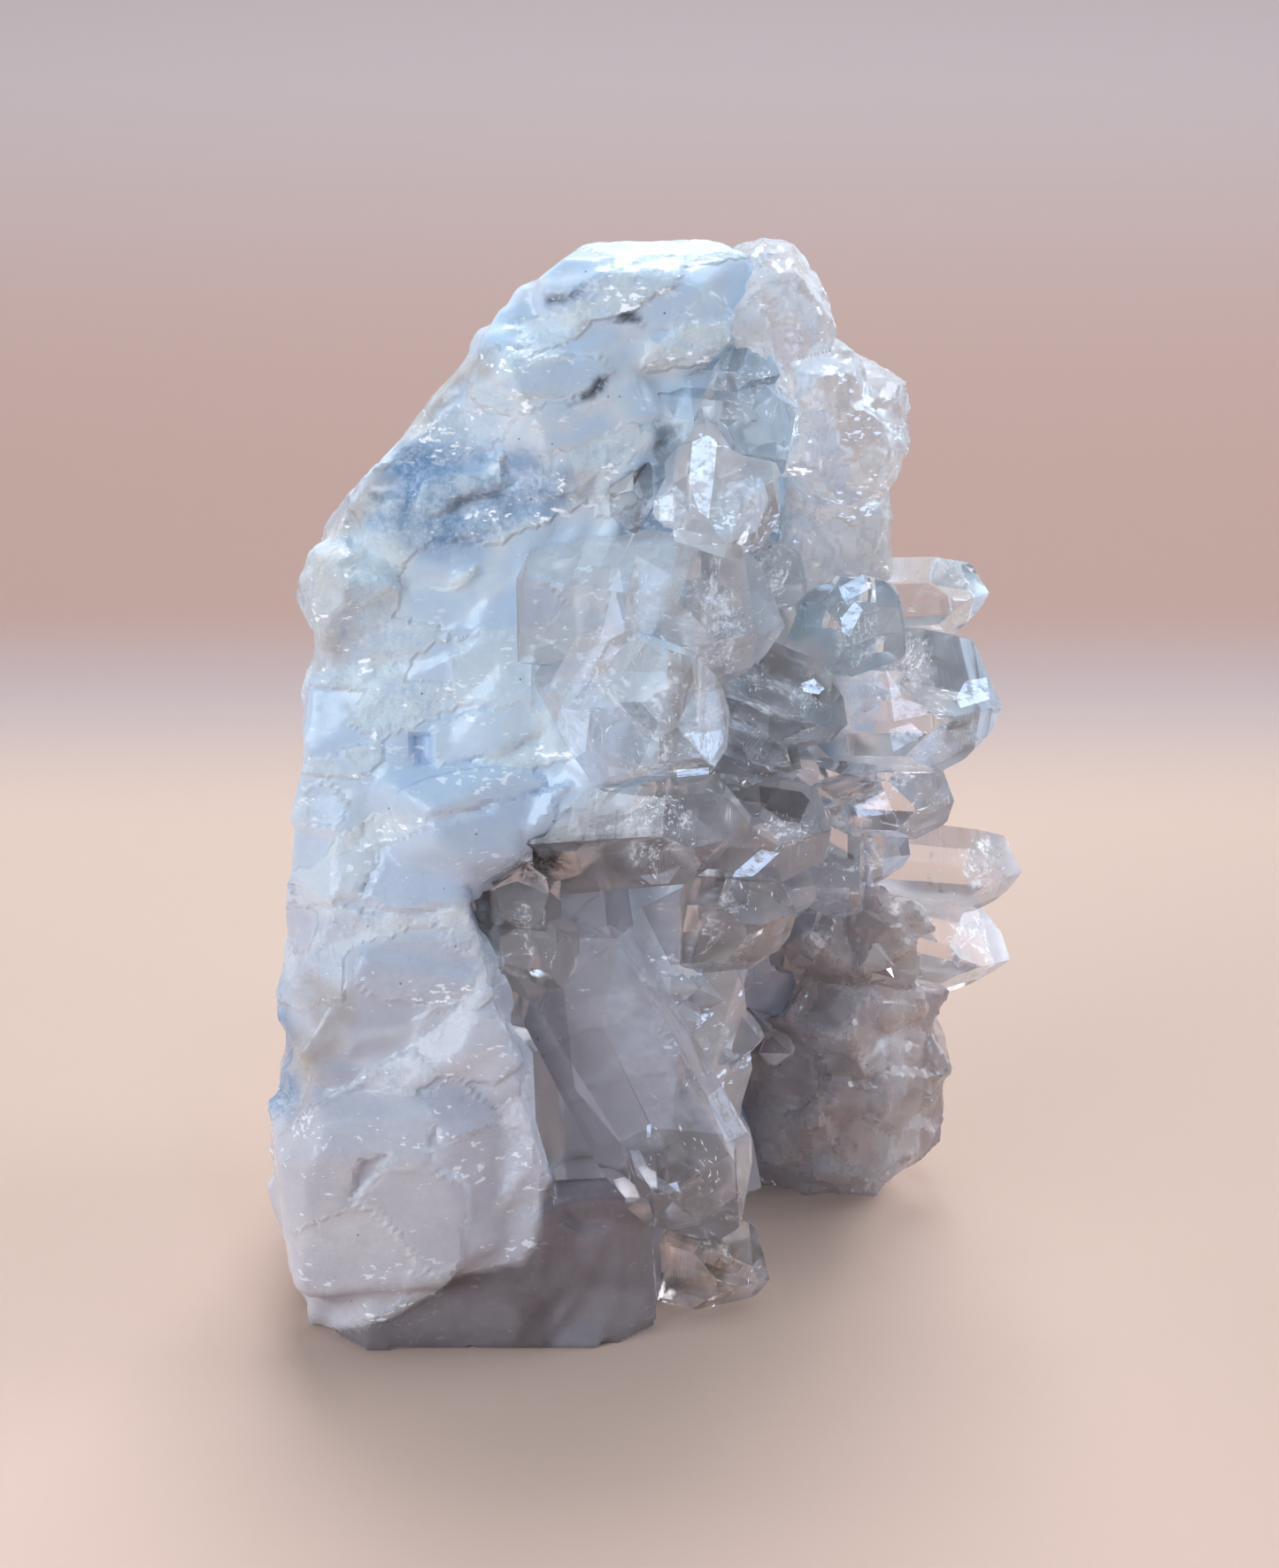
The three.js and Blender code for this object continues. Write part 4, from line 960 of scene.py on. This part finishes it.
def paint_slab(mesh, flat, own, block):
    """Where the slab is slate blue, cream, cut by cracks, rusty or dark like its foot block, each inside its
    outlines. The patches under the tongue flake, round the window crystal and on a recess wall are painted
    shade. Its back is left plain."""
    drawn = {"slate": 0.0, "cream": 0.0, "crack_and_shade": 0.0, "block": block}
    ragged = flat + 0.5 * noise_rows(own, 1.4, (5, 6))
    for attribute, value, outline in PATCHES.values():
        thin = attribute == "crack_and_shade"
        shape = inside_outline(flat if thin else ragged, outline, 0.5 if thin else 1.6)
        drawn[attribute] = np.maximum(drawn[attribute], value * shape)
    for attribute, values in drawn.items():
        add_attribute(mesh, attribute, np.where(own[:, 1] > PLAIN_BACK, 0.0, values))
    add_attribute(mesh, "rust", blob(own, (-8, 6, 41), (3, 5, 1.8)))


# ---- The crystals --------------------------------------------------------------------------------


def axis_of(foot, tip):
    return unit(np.array(tip, float) - np.array(foot, float))


def label_growth(mesh, node):
    """For each face corner: how far along the crystal's axis it lies, in mm, 1 on a side face of the
    crystal, and the painted shade, painted glow (a highlight) and painted warm and cool tint of the facet.
    The painted shade is a sine of the way that the facet looks, but where an outline says otherwise. A face
    belongs to the crystal of its node whose axis passes nearest for its width."""
    points = coordinates(mesh) - ORIGIN_SHIFT
    loops = whole_numbers(mesh.loops, "vertex_index")
    counts = whole_numbers(mesh.polygons, "loop_total")
    centres = vectors(mesh.polygons, "center") / MM - ORIGIN_SHIFT
    normals = vectors(mesh.polygons, "normal")
    best = np.full(len(centres), np.inf)
    along, side = np.zeros(len(loops)), np.zeros(len(loops))
    for foot, tip, width in CRYSTALS.get(node, []):
        axis = axis_of(foot, tip)
        out = centres - np.array(foot)
        apart = np.linalg.norm(out - (out @ axis)[:, None] * axis, axis=1) / width
        mine = np.repeat(apart < best, counts)
        best = np.minimum(best, apart)
        along = np.where(mine, points[loops] @ axis, along)
        side = np.where(mine, np.repeat(np.abs(normals @ axis) < 0.2, counts), side)
    # Painted shade: each facet is darker or lighter by the way that it looks.
    shade = 0.45 + 0.45 * np.sin(normals @ np.array([9.1, 6.3, 7.7]) + SHADES.get(node, 0.0))
    glow, painted_warmth = np.zeros(len(centres)), np.zeros(len(centres))
    flat = on_face(centres + ORIGIN_SHIFT)
    for own_shade, own_glow, own_warmth, outline in FACETS.get(node, []):
        inside = (normals @ VIEW < TO_FRONT) & (inside_outline(flat, outline, 1e-6) > 0.5)
        shade[inside], glow[inside], painted_warmth[inside] = own_shade, own_glow, own_warmth
    add_attribute(mesh, "along", along, "CORNER")
    add_attribute(mesh, "side", side, "CORNER")
    for name, values in {"facet": shade, "glow": glow, "painted_warmth": painted_warmth}.items():
        add_attribute(mesh, name, np.repeat(values, counts), "CORNER")


def cut_facets(work, outlines):
    """Cuts the faces that look to the front along the planes through each outline's sides, so that every
    part of a face lies wholly inside or outside it. The shape stays as it is."""
    for corners in (np.array(outline) for outline in outlines):
        low, high = corners.min(axis=0) - 0.1, corners.max(axis=0) + 0.1
        for a, b in zip(corners, np.roll(corners, -1, axis=0)):
            faces = []
            for face in work.faces:
                if face.normal.dot(VIEW) < TO_FRONT:
                    flat = on_face(np.array([v.co[:] for v in face.verts]) / MM)
                    if (flat.min(axis=0) < high).all() and (flat.max(axis=0) > low).all():
                        faces.append(face)
            edges = {edge for face in faces for edge in face.edges}
            points = {point for face in faces for point in face.verts}
            side = np.array([b[0] - a[0], LEAN * (b[1] - a[1]), RISE * (b[1] - a[1])])
            start = (np.array([a[0], LEAN * a[1], RISE * a[1]]) + ORIGIN_SHIFT) * MM
            whole = list(points) + list(edges) + faces
            across = np.cross(side, VIEW)
            bmesh.ops.bisect_plane(work, geom=whole, dist=1e-7, plane_co=start, plane_no=across)


EDGE = 0.17  # mm, a worn edge's bevel
ROOTED = 0.36  # mm from the slab, within which a crystal's edges stay sharp


def crystal_piece(node, material):
    """A CAD crystal node with flat faces made whole and its free edges broken by a narrow bevel."""
    work = merged(node)
    bmesh.ops.dissolve_limit(work, angle_limit=math.radians(0.8), verts=work.verts, edges=work.edges)
    work.verts.index_update()
    corners = np.array([v.co[:] for v in work.verts]) / MM
    rooted = np.abs(nearest_face(["milky_slab"], corners)) < ROOTED
    free = [
        e
        for e in work.edges
        if not any(rooted[v.index] for v in e.verts)
        and len(e.link_faces) == 2
        and e.calc_face_angle(0) > math.radians(12)
        and e.calc_length() > 2 * EDGE * MM
    ]
    worn = bmesh.ops.bevel(work, geom=free, offset=EDGE * MM, segments=1, affect="EDGES", clamp_overlap=True)
    for face in worn["faces"]:
        face.material_index = 1
    cut_facets(work, [outline for *_, outline in FACETS.get(node, [])])
    mesh = to_new_mesh(work, node + "_faces")
    label_growth(mesh, node)
    piece = new_piece(node + "_quartz", mesh, material)
    mesh.materials.append(MATERIALS["edge"])
    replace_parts(piece, node)


VEIL_SIDE = 15  # points along a veil's side


def veil_points(foot, tip, width, index, node):
    """One veil: a flat grid across a crystal, turned at random and waved, and how much of it shows. It
    fades out at the crystal's faces and beyond a ring."""
    rng = np.random.default_rng(4000 + index)
    axis = axis_of(foot, tip)
    middle = tip - axis * width * rng.uniform(0.3, 1.7) + rng.normal(0, 0.12 * width, 3)
    facing = unit(rng.normal(0, 1, 3) + axis * rng.choice([-1.0, 1.0]) * 0.6)
    first = unit(np.cross(facing, rng.normal(0, 1, 3)))
    second = np.cross(facing, first)
    u, v = (part.ravel()[:, None] for part in np.meshgrid(*[np.linspace(-1, 1, VEIL_SIDE)] * 2))
    points = middle + width * rng.uniform(0.25, 0.6) * (u * first + 0.6 * v * second)
    points += facing * (0.08 * width * smooth_noise(points, 0.35 * width, index % 50))[:, None] + ORIGIN_SHIFT
    depth = -nearest_face([node], points)
    fade = np.clip((depth - 0.12) / 0.5, 0, 1) * np.clip(1.25 - np.hypot(u, v).ravel(), 0, 1)
    return points, np.clip(fade * 1.8, 0, 1)


def veils_piece():
    """All the veils as one mesh of small curved grids, each inside its own crystal."""
    points, faces, fades, golds = [], [], [], []
    index, start = 0, 0
    for node, crystals in CRYSTALS.items():
        for crystal in crystals:
            for _ in range(VEILS.get(node, 4)):
                rows, fade = veil_points(*crystal, index, node)
                cells = grid_faces(VEIL_SIDE, VEIL_SIDE)
                cells = cells[fade[cells].min(axis=1) > 0]
                points.append(rows)
                fades.append(fade)
                golds.append(np.full(len(fade), float(node == "floor_crystal" and index % 2 == 0)))
                faces.append(cells + start)
                start += len(rows)
                index += 1
    used, corners = np.unique(np.concatenate(faces), return_inverse=True)
    mesh = mesh_from("inner_veils", np.concatenate(points)[used], corners.reshape(-1, 4).tolist())
    add_attribute(mesh, "fade", np.concatenate(fades)[used])
    add_attribute(mesh, "gold", np.concatenate(golds)[used])
    mesh.shade_smooth()
    new_piece("inner_veils", mesh, MATERIALS["veil"])


def glints_piece():
    """Sprays of bright flecks inside the crystals, painted highlights for small fractures that mirror the
    light: thin kites a few tenths of a millimetre long, in clusters whose flecks lie nearly parallel."""
    rng = np.random.default_rng(515)
    places, firsts, seconds, sizes = [], [], [], []
    for node, crystals in CRYSTALS.items():
        for foot, tip, width in crystals:
            axis = axis_of(foot, tip)
            for _ in range(GLINTS.get(node, 3)):
                middle = tip - axis * width * rng.uniform(0.25, 1.8) + rng.normal(0, 0.2 * width, 3)
                spread = width * rng.uniform(0.04, 0.16, 3)
                count = int(rng.integers(10, 34))
                turn, _ = np.linalg.qr(rng.normal(0, 1, (3, 3)))
                spots = middle + (rng.normal(0, 1, (count, 3)) * spread * [2.2, 1, 0.4]) @ turn + ORIGIN_SHIFT
                spots = spots[nearest_face([node], spots) < -0.25]
                along = unit(turn[0] + rng.normal(0, 0.35, (len(spots), 3)))
                places.append(spots)
                firsts.append(along)
                seconds.append(unit(np.cross(along, rng.normal(0, 1, (len(spots), 3)))))
                sizes.append(rng.uniform(0.12, 0.42, len(spots)) ** 1.2)
    places, firsts, seconds = (np.concatenate(rows) for rows in (places, firsts, seconds))
    size = np.concatenate(sizes)[:, None]
    long, wide = firsts * size, seconds * size
    points = np.stack([places - long, places + wide * 0.3, places + long, places - wide * 0.25], axis=1)
    points = points.reshape(-1, 3)
    mesh = mesh_from("fracture_glints", points, np.arange(len(points)).reshape(-1, 4).tolist())
    new_piece("fracture_glints", mesh, MATERIALS["glint"])


# ---- Small points between the crystals -----------------------------------------------------------


def point_shapes(feet, ways, widths, lengths, rolls):
    """Many small quartz points as one mesh: a ring of six at the foot, a ring of six at the shoulder,
    and the tip, each ring turned about the point's own way."""
    count = len(feet)
    spare = np.where(np.abs(ways[:, 2:3]) > 0.8, [[1.0, 0, 0]], [[0, 0, 1.0]])
    across = unit(np.cross(ways, spare))
    up = np.cross(ways, across)
    turns = np.radians(60 * np.arange(6))[None, :] + rolls[:, None]
    ring = np.cos(turns)[..., None] * across[:, None] + np.sin(turns)[..., None] * up[:, None]
    ring *= (widths / 2)[:, None, None]
    numbers = np.stack(np.broadcast_arrays(np.arange(count)[:, None], np.arange(6), 0), axis=2)
    uneven = 1 + 0.22 * (hashed(numbers, 5) - 0.5)
    shoulder = (lengths[:, None] - 0.6 * widths[:, None] * uneven)[..., None] * ways[:, None]
    tips = (feet + lengths[:, None] * ways)[:, None]
    points = np.concatenate([feet[:, None] + ring, feet[:, None] + 0.94 * ring + shoulder, tips], axis=1)
    now, after = np.arange(6), (np.arange(6) + 1) % 6
    walls = np.stack([now, after, after + 6, now + 6], axis=1)
    caps = np.stack([now + 6, after + 6, np.full(6, 12)], axis=1)
    base = np.arange(6)[::-1][None]
    offsets = np.arange(count)[:, None, None] * 13
    faces = []
    for shape in (walls, caps, base):
        faces += (shape[None] + offsets).reshape(-1, shape.shape[1]).tolist()
    return points.reshape(-1, 3), faces


def scattered(node, count, keep, rng):
    """Random places on a CAD node's triangles, with their normals, where keep says so for a triangle's
    middle, in the crystals' own coordinates, and its normal."""
    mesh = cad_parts[node].data
    mesh.calc_loop_triangles()
    corners = np.array([t.vertices[:] for t in mesh.loop_triangles])
    points = coordinates(mesh)
    a, b, c = (points[corners[:, k]] for k in range(3))
    cross = np.cross(b - a, c - a)
    area = np.linalg.norm(cross, axis=1)
    normals = cross / np.maximum(area, 1e-9)[:, None]
    weight = area * keep((a + b + c) / 3 - ORIGIN_SHIFT, normals)
    chosen = rng.choice(len(area), count, p=weight / weight.sum())
    u, v = rng.random((2, count))
    flip = u + v > 1
    u, v = np.where(flip, 1 - u, u), np.where(flip, 1 - v, v)
    places = a[chosen] + u[:, None] * (b - a)[chosen] + v[:, None] * (c - a)[chosen]
    return places, normals[chosen]


def on_crystal_side(middle, normals):
    """The slab's side that the crystals grow from, in both of its blocks, but not behind the bank."""
    side = np.array([0.906, -0.423, 0])
    wall = np.abs((middle - np.array([0.6, 6.5, 0])) @ side) < 3.2
    wall &= (normals @ side > 0.5) & (middle[:, 1] > 9)
    step = (middle[:, 0] > 6) & (normals @ np.array([0.12, -0.99, 0]) > 0.4)
    hidden = (middle[:, 0] > 5) & (middle[:, 2] < 27)
    return (wall | step) & (middle[:, 2] > 4) & (middle[:, 2] < 74) & ~hidden


def on_bank_front(middle, normals):
    """The bank's faces that look to the front or to the right."""
    return (normals @ np.array([0.5, -0.8, 0.2]) > 0.2) & (middle[:, 2] > 1.5)


ROOT = 1.0  # mm, how deep a small point's foot is sunk


def points_piece(name, node, kind, count, keep, sizes, seed, stout, spread, lead):
    """Small quartz points that stand on a CAD node where keep says so, but for those that would run into
    another node. Sizes are about the least and greatest width in mm, stout is about the length for its
    width, spread is how much their ways differ, and lead is how far they lean to the front right."""
    rng = np.random.default_rng(seed)
    feet, normals = scattered(node, count, keep, rng)
    ways = unit(normals + lead * np.array([0.8, -0.5, 0.1]) + rng.normal(0, spread, (count, 3)))
    widths = rng.uniform(*sizes, count) * rng.uniform(0.7, 1.2, count)
    lengths = widths * stout * rng.uniform(0.6, 1.4, count) + 0.4
    others = [other for other in CRYSTAL_NODES if other != node]
    clear = nearest_face(others, feet + ways * lengths[:, None] * 0.6) > 0.35 * widths
    feet, ways, widths, lengths = feet[clear], ways[clear], widths[clear], lengths[clear]
    rolls = rng.uniform(0, 1, len(feet))
    shapes, faces = point_shapes(feet - ways * ROOT, ways, widths, lengths + ROOT, rolls)
    shapes[:, 2] = np.maximum(shapes[:, 2], 0)
    made = mesh_from(name, shapes, faces)
    work = bmesh.new()
    work.from_mesh(made)
    bmesh.ops.recalc_face_normals(work, faces=work.faces)
    work.to_mesh(made)
    work.free()
    label_growth(made, node)
    new_piece(name, made, MATERIALS[kind])


def crust_piece(node, kind, voxel, chunk, heights, ragged, sharp, filled=0.0, warm=None):
    """A crust of many small grains: an even mesh moved along its normals by fracture flakes of two sizes,
    which rise by the two heights in mm. Chunk is the larger flakes' size, and ragged is how uneven their
    seams are. Warm is two heights above the floor and how warm the tint is at each, with a straight blend
    between; the tint is painted light, as given warmer low on the top crust and cooler higher up."""
    mesh = even_mesh(node, voxel, filled)
    points, normals = coordinates(mesh), vectors(mesh.vertices, "normal")
    shaken = points + ragged * noise_rows(points, 1.0, (1, 2, 3))
    large, _, _ = flakes(shaken, (chunk, chunk, 0.9 * chunk), 21)
    small, _, _ = flakes(shaken, (0.38 * chunk, 0.38 * chunk, 0.35 * chunk), 23)
    risen = np.clip(points[:, 2] / 1.5, 0, 1)
    points += normals * ((heights[0] * large + heights[1] * small) * risen)[:, None]
    finish_surface(mesh, points, sharp)
    label_growth(mesh, node)
    # Painted light: the tint is warmer low on the crust and cooler higher up.
    if warm:
        at_corners = coordinates(mesh)[whole_numbers(mesh.loops, "vertex_index"), 2]
        painted_warmth = np.interp(at_corners, *warm).astype(np.float32)
        mesh.attributes["painted_warmth"].data.foreach_set("value", painted_warmth)
    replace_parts(new_piece(node + "_quartz", mesh, MATERIALS[kind]), node)


# ---- The piece list ------------------------------------------------------------------------------

# The kind of quartz of each node's crystals, where it isn't clear.
KINDS = {
    "front_twin": "cloudy",
    "window_crystal": "bright",
    "floor_crystal": "floor",
    "lens_crystals": "sky",
    "long_front_crystal": "shaded_grey",
    "leaning_crystal": "shaded_grey",
    "dark_tip_crystal": "shaded_grey",
    "small_round_crystals": "shaded_grey",
    "rounded_crystal": "shaded_grey",
    "shaded_crystal": "shaded_grey",
    "smoky_crystals": "smoky",
    "slate_crystal": "smoky",
    "recess_crystals": "hazy",
}
slab_piece()
crust_piece(
    "top_crust", "hazy",
    voxel=0.34, chunk=3.4, heights=(0.38, 0.16), ragged=0.25, sharp=30, warm=((66, 74), (0.4, -0.1)),
)
crust_piece(
    "lower_bank", "bank",
    voxel=0.42, chunk=5.5, heights=(1.1, 0.15), ragged=0.03, sharp=16, filled=0.93,
)
for node in CRYSTAL_NODES:
    if node not in ("top_crust", "lower_bank"):
        crystal_piece(node, MATERIALS[KINDS.get(node, "clear")])
veils_piece()
glints_piece()
points_piece(
    "small_points", "milky_slab", "hazy",
    count=460, keep=on_crystal_side, sizes=(1.6, 4.2), seed=77, stout=0.45, spread=0.2, lead=1.2,
)
points_piece(
    "bank_points", "lower_bank", "bank",
    count=16, keep=on_bank_front, sizes=(4.0, 6.5), seed=78, stout=0.22, spread=0.14, lead=1.6,
)

# ---- Stage, light and camera ---------------------------------------------------------------------


def floor_piece():
    """A wide level floor of fine pale paper, warm near the cluster and darker and cooler in bands far behind
    it; painted lighter in front of the cluster and painted darker at the front right, as painted light and
    shade.
    """
    x, y = np.meshgrid(*[np.linspace(-1500.0, 1500.0, 61)] * 2)
    points = np.stack([x.ravel(), y.ravel(), np.full(x.size, -0.02)], axis=1)
    mesh = mesh_from("floor", points, grid_faces(61, 61).tolist())
    material, n, _, skin, place = new_material("floor_paper")
    back = n.part(place, 1)
    # Painted light: the floor in front of the cluster is lighter than just behind it.
    colour = n.mix(n.span(back, -0.06, 0.03), (0.66, 0.475, 0.39), (0.585, 0.43, 0.35))
    colour = n.mix(n.span(back, 0.10, 0.16), colour, (0.395, 0.31, 0.305))
    colour = n.mix(n.span(back, 0.14, 0.19), colour, (0.355, 0.22, 0.183))
    colour = n.mix(n.span(back, 0.24, 0.65), colour, (0.36, 0.295, 0.295))
    # Painted shade: the floor is darker at the front right.
    right = n.times(n.span(n.part(place, 0), 0.0, 0.09), n.span(back, -0.04, 0.06, 0.45, 0.0))
    n.fill(
        skin,
        Base_Color=n.tinted(right, colour, (0.68, 0.66, 0.64)),
        Roughness=0.75,
        Normal=n.bump(n.noise(place, 900.0, 4.0), 0.1, 0.0003),
    )
    mesh.materials.append(material)
    in_scene("floor", mesh)


def soft_light(name, place, size, colour, power):
    """A square softbox at a place in metres that looks at the cluster's middle."""
    lamp = bpy.data.lights.new(name, "AREA")
    lamp.size = size
    lamp.color = colour
    lamp.energy = power
    holder = in_scene(name, lamp)
    holder.location = place
    middle = Vector((0.0, 0.0, 0.045))
    holder.rotation_euler = (middle - Vector(place)).to_track_quat("-Z", "Y").to_euler()


def world_light():
    """Even light from all round: warm from low down, cool from above, and stronger from behind."""
    world = bpy.data.worlds.new("soft_room")
    world.use_nodes = True
    world.node_tree.nodes.clear()
    n = Nodes(world.node_tree)
    way = n.add("TexCoord").outputs["Generated"]
    glow = n.add("Background")
    n.fill(
        glow,
        Color=n.mix(n.span(n.part(way, 2), 0.0, 0.7), (1.0, 0.87, 0.81), (0.84, 0.91, 1.0)),
        Strength=n.span(n.part(way, 1), -0.8, 0.8, 0.16, 0.70),
    )
    n.fill(n.add("OutputWorld"), Surface=glow.outputs[0])
    bpy.context.scene.world = world


def camera():
    """A long lens that looks down by twenty degrees. At its distance a millimetre takes up so many pixels
    of the frame's height."""
    lift, away, pixels, frame_height = math.radians(20), 0.33, 13.3, 1772
    back = Vector((0, -math.cos(lift), math.sin(lift)))
    data = bpy.data.cameras.new("camera")
    data.sensor_width = 36
    data.lens = pixels * away / MM * data.sensor_width / frame_height
    data.clip_start, data.clip_end = 0.01, 10
    holder = in_scene("camera", data)
    holder.location = Vector((-1.1, -6.71, 44.7)) * MM + back * away
    holder.rotation_euler = (-back).to_track_quat("-Z", "Y").to_euler()
    bpy.context.scene.camera = holder


floor_piece()
world_light()
soft_light("window", (-0.90, -0.66, 0.52), 0.7, (0.82, 0.91, 1.0), 7.4)
soft_light("overhead", (0.0, 0.72, 1.02), 0.6, (0.93, 0.96, 1.0), 12.2)
soft_light("right_sky", (0.95, 0.2, 0.5), 0.5, (0.80, 0.89, 1.0), 4.2)
soft_light("right_glint", (0.62, -0.35, 0.45), 0.09, (0.50, 0.74, 1.0), 0.35)
soft_light("left_glint", (-0.5, -0.65, 0.35), 0.09, (0.60, 0.80, 1.0), 0.3)
soft_light("high_glint", (0.18, -0.4, 0.75), 0.1, (0.55, 0.78, 1.0), 0.4)
camera()

scene = bpy.context.scene
scene.view_settings.view_transform = "Standard"
scene.cycles.use_denoising = True
scene.cycles.max_bounces = 8
scene.cycles.transmission_bounces = 7
scene.cycles.transparent_max_bounces = 10
scene.cycles.diffuse_bounces = 2
scene.cycles.adaptive_threshold = 0.08
scene.cycles.caustics_reflective = False
scene.cycles.caustics_refractive = True
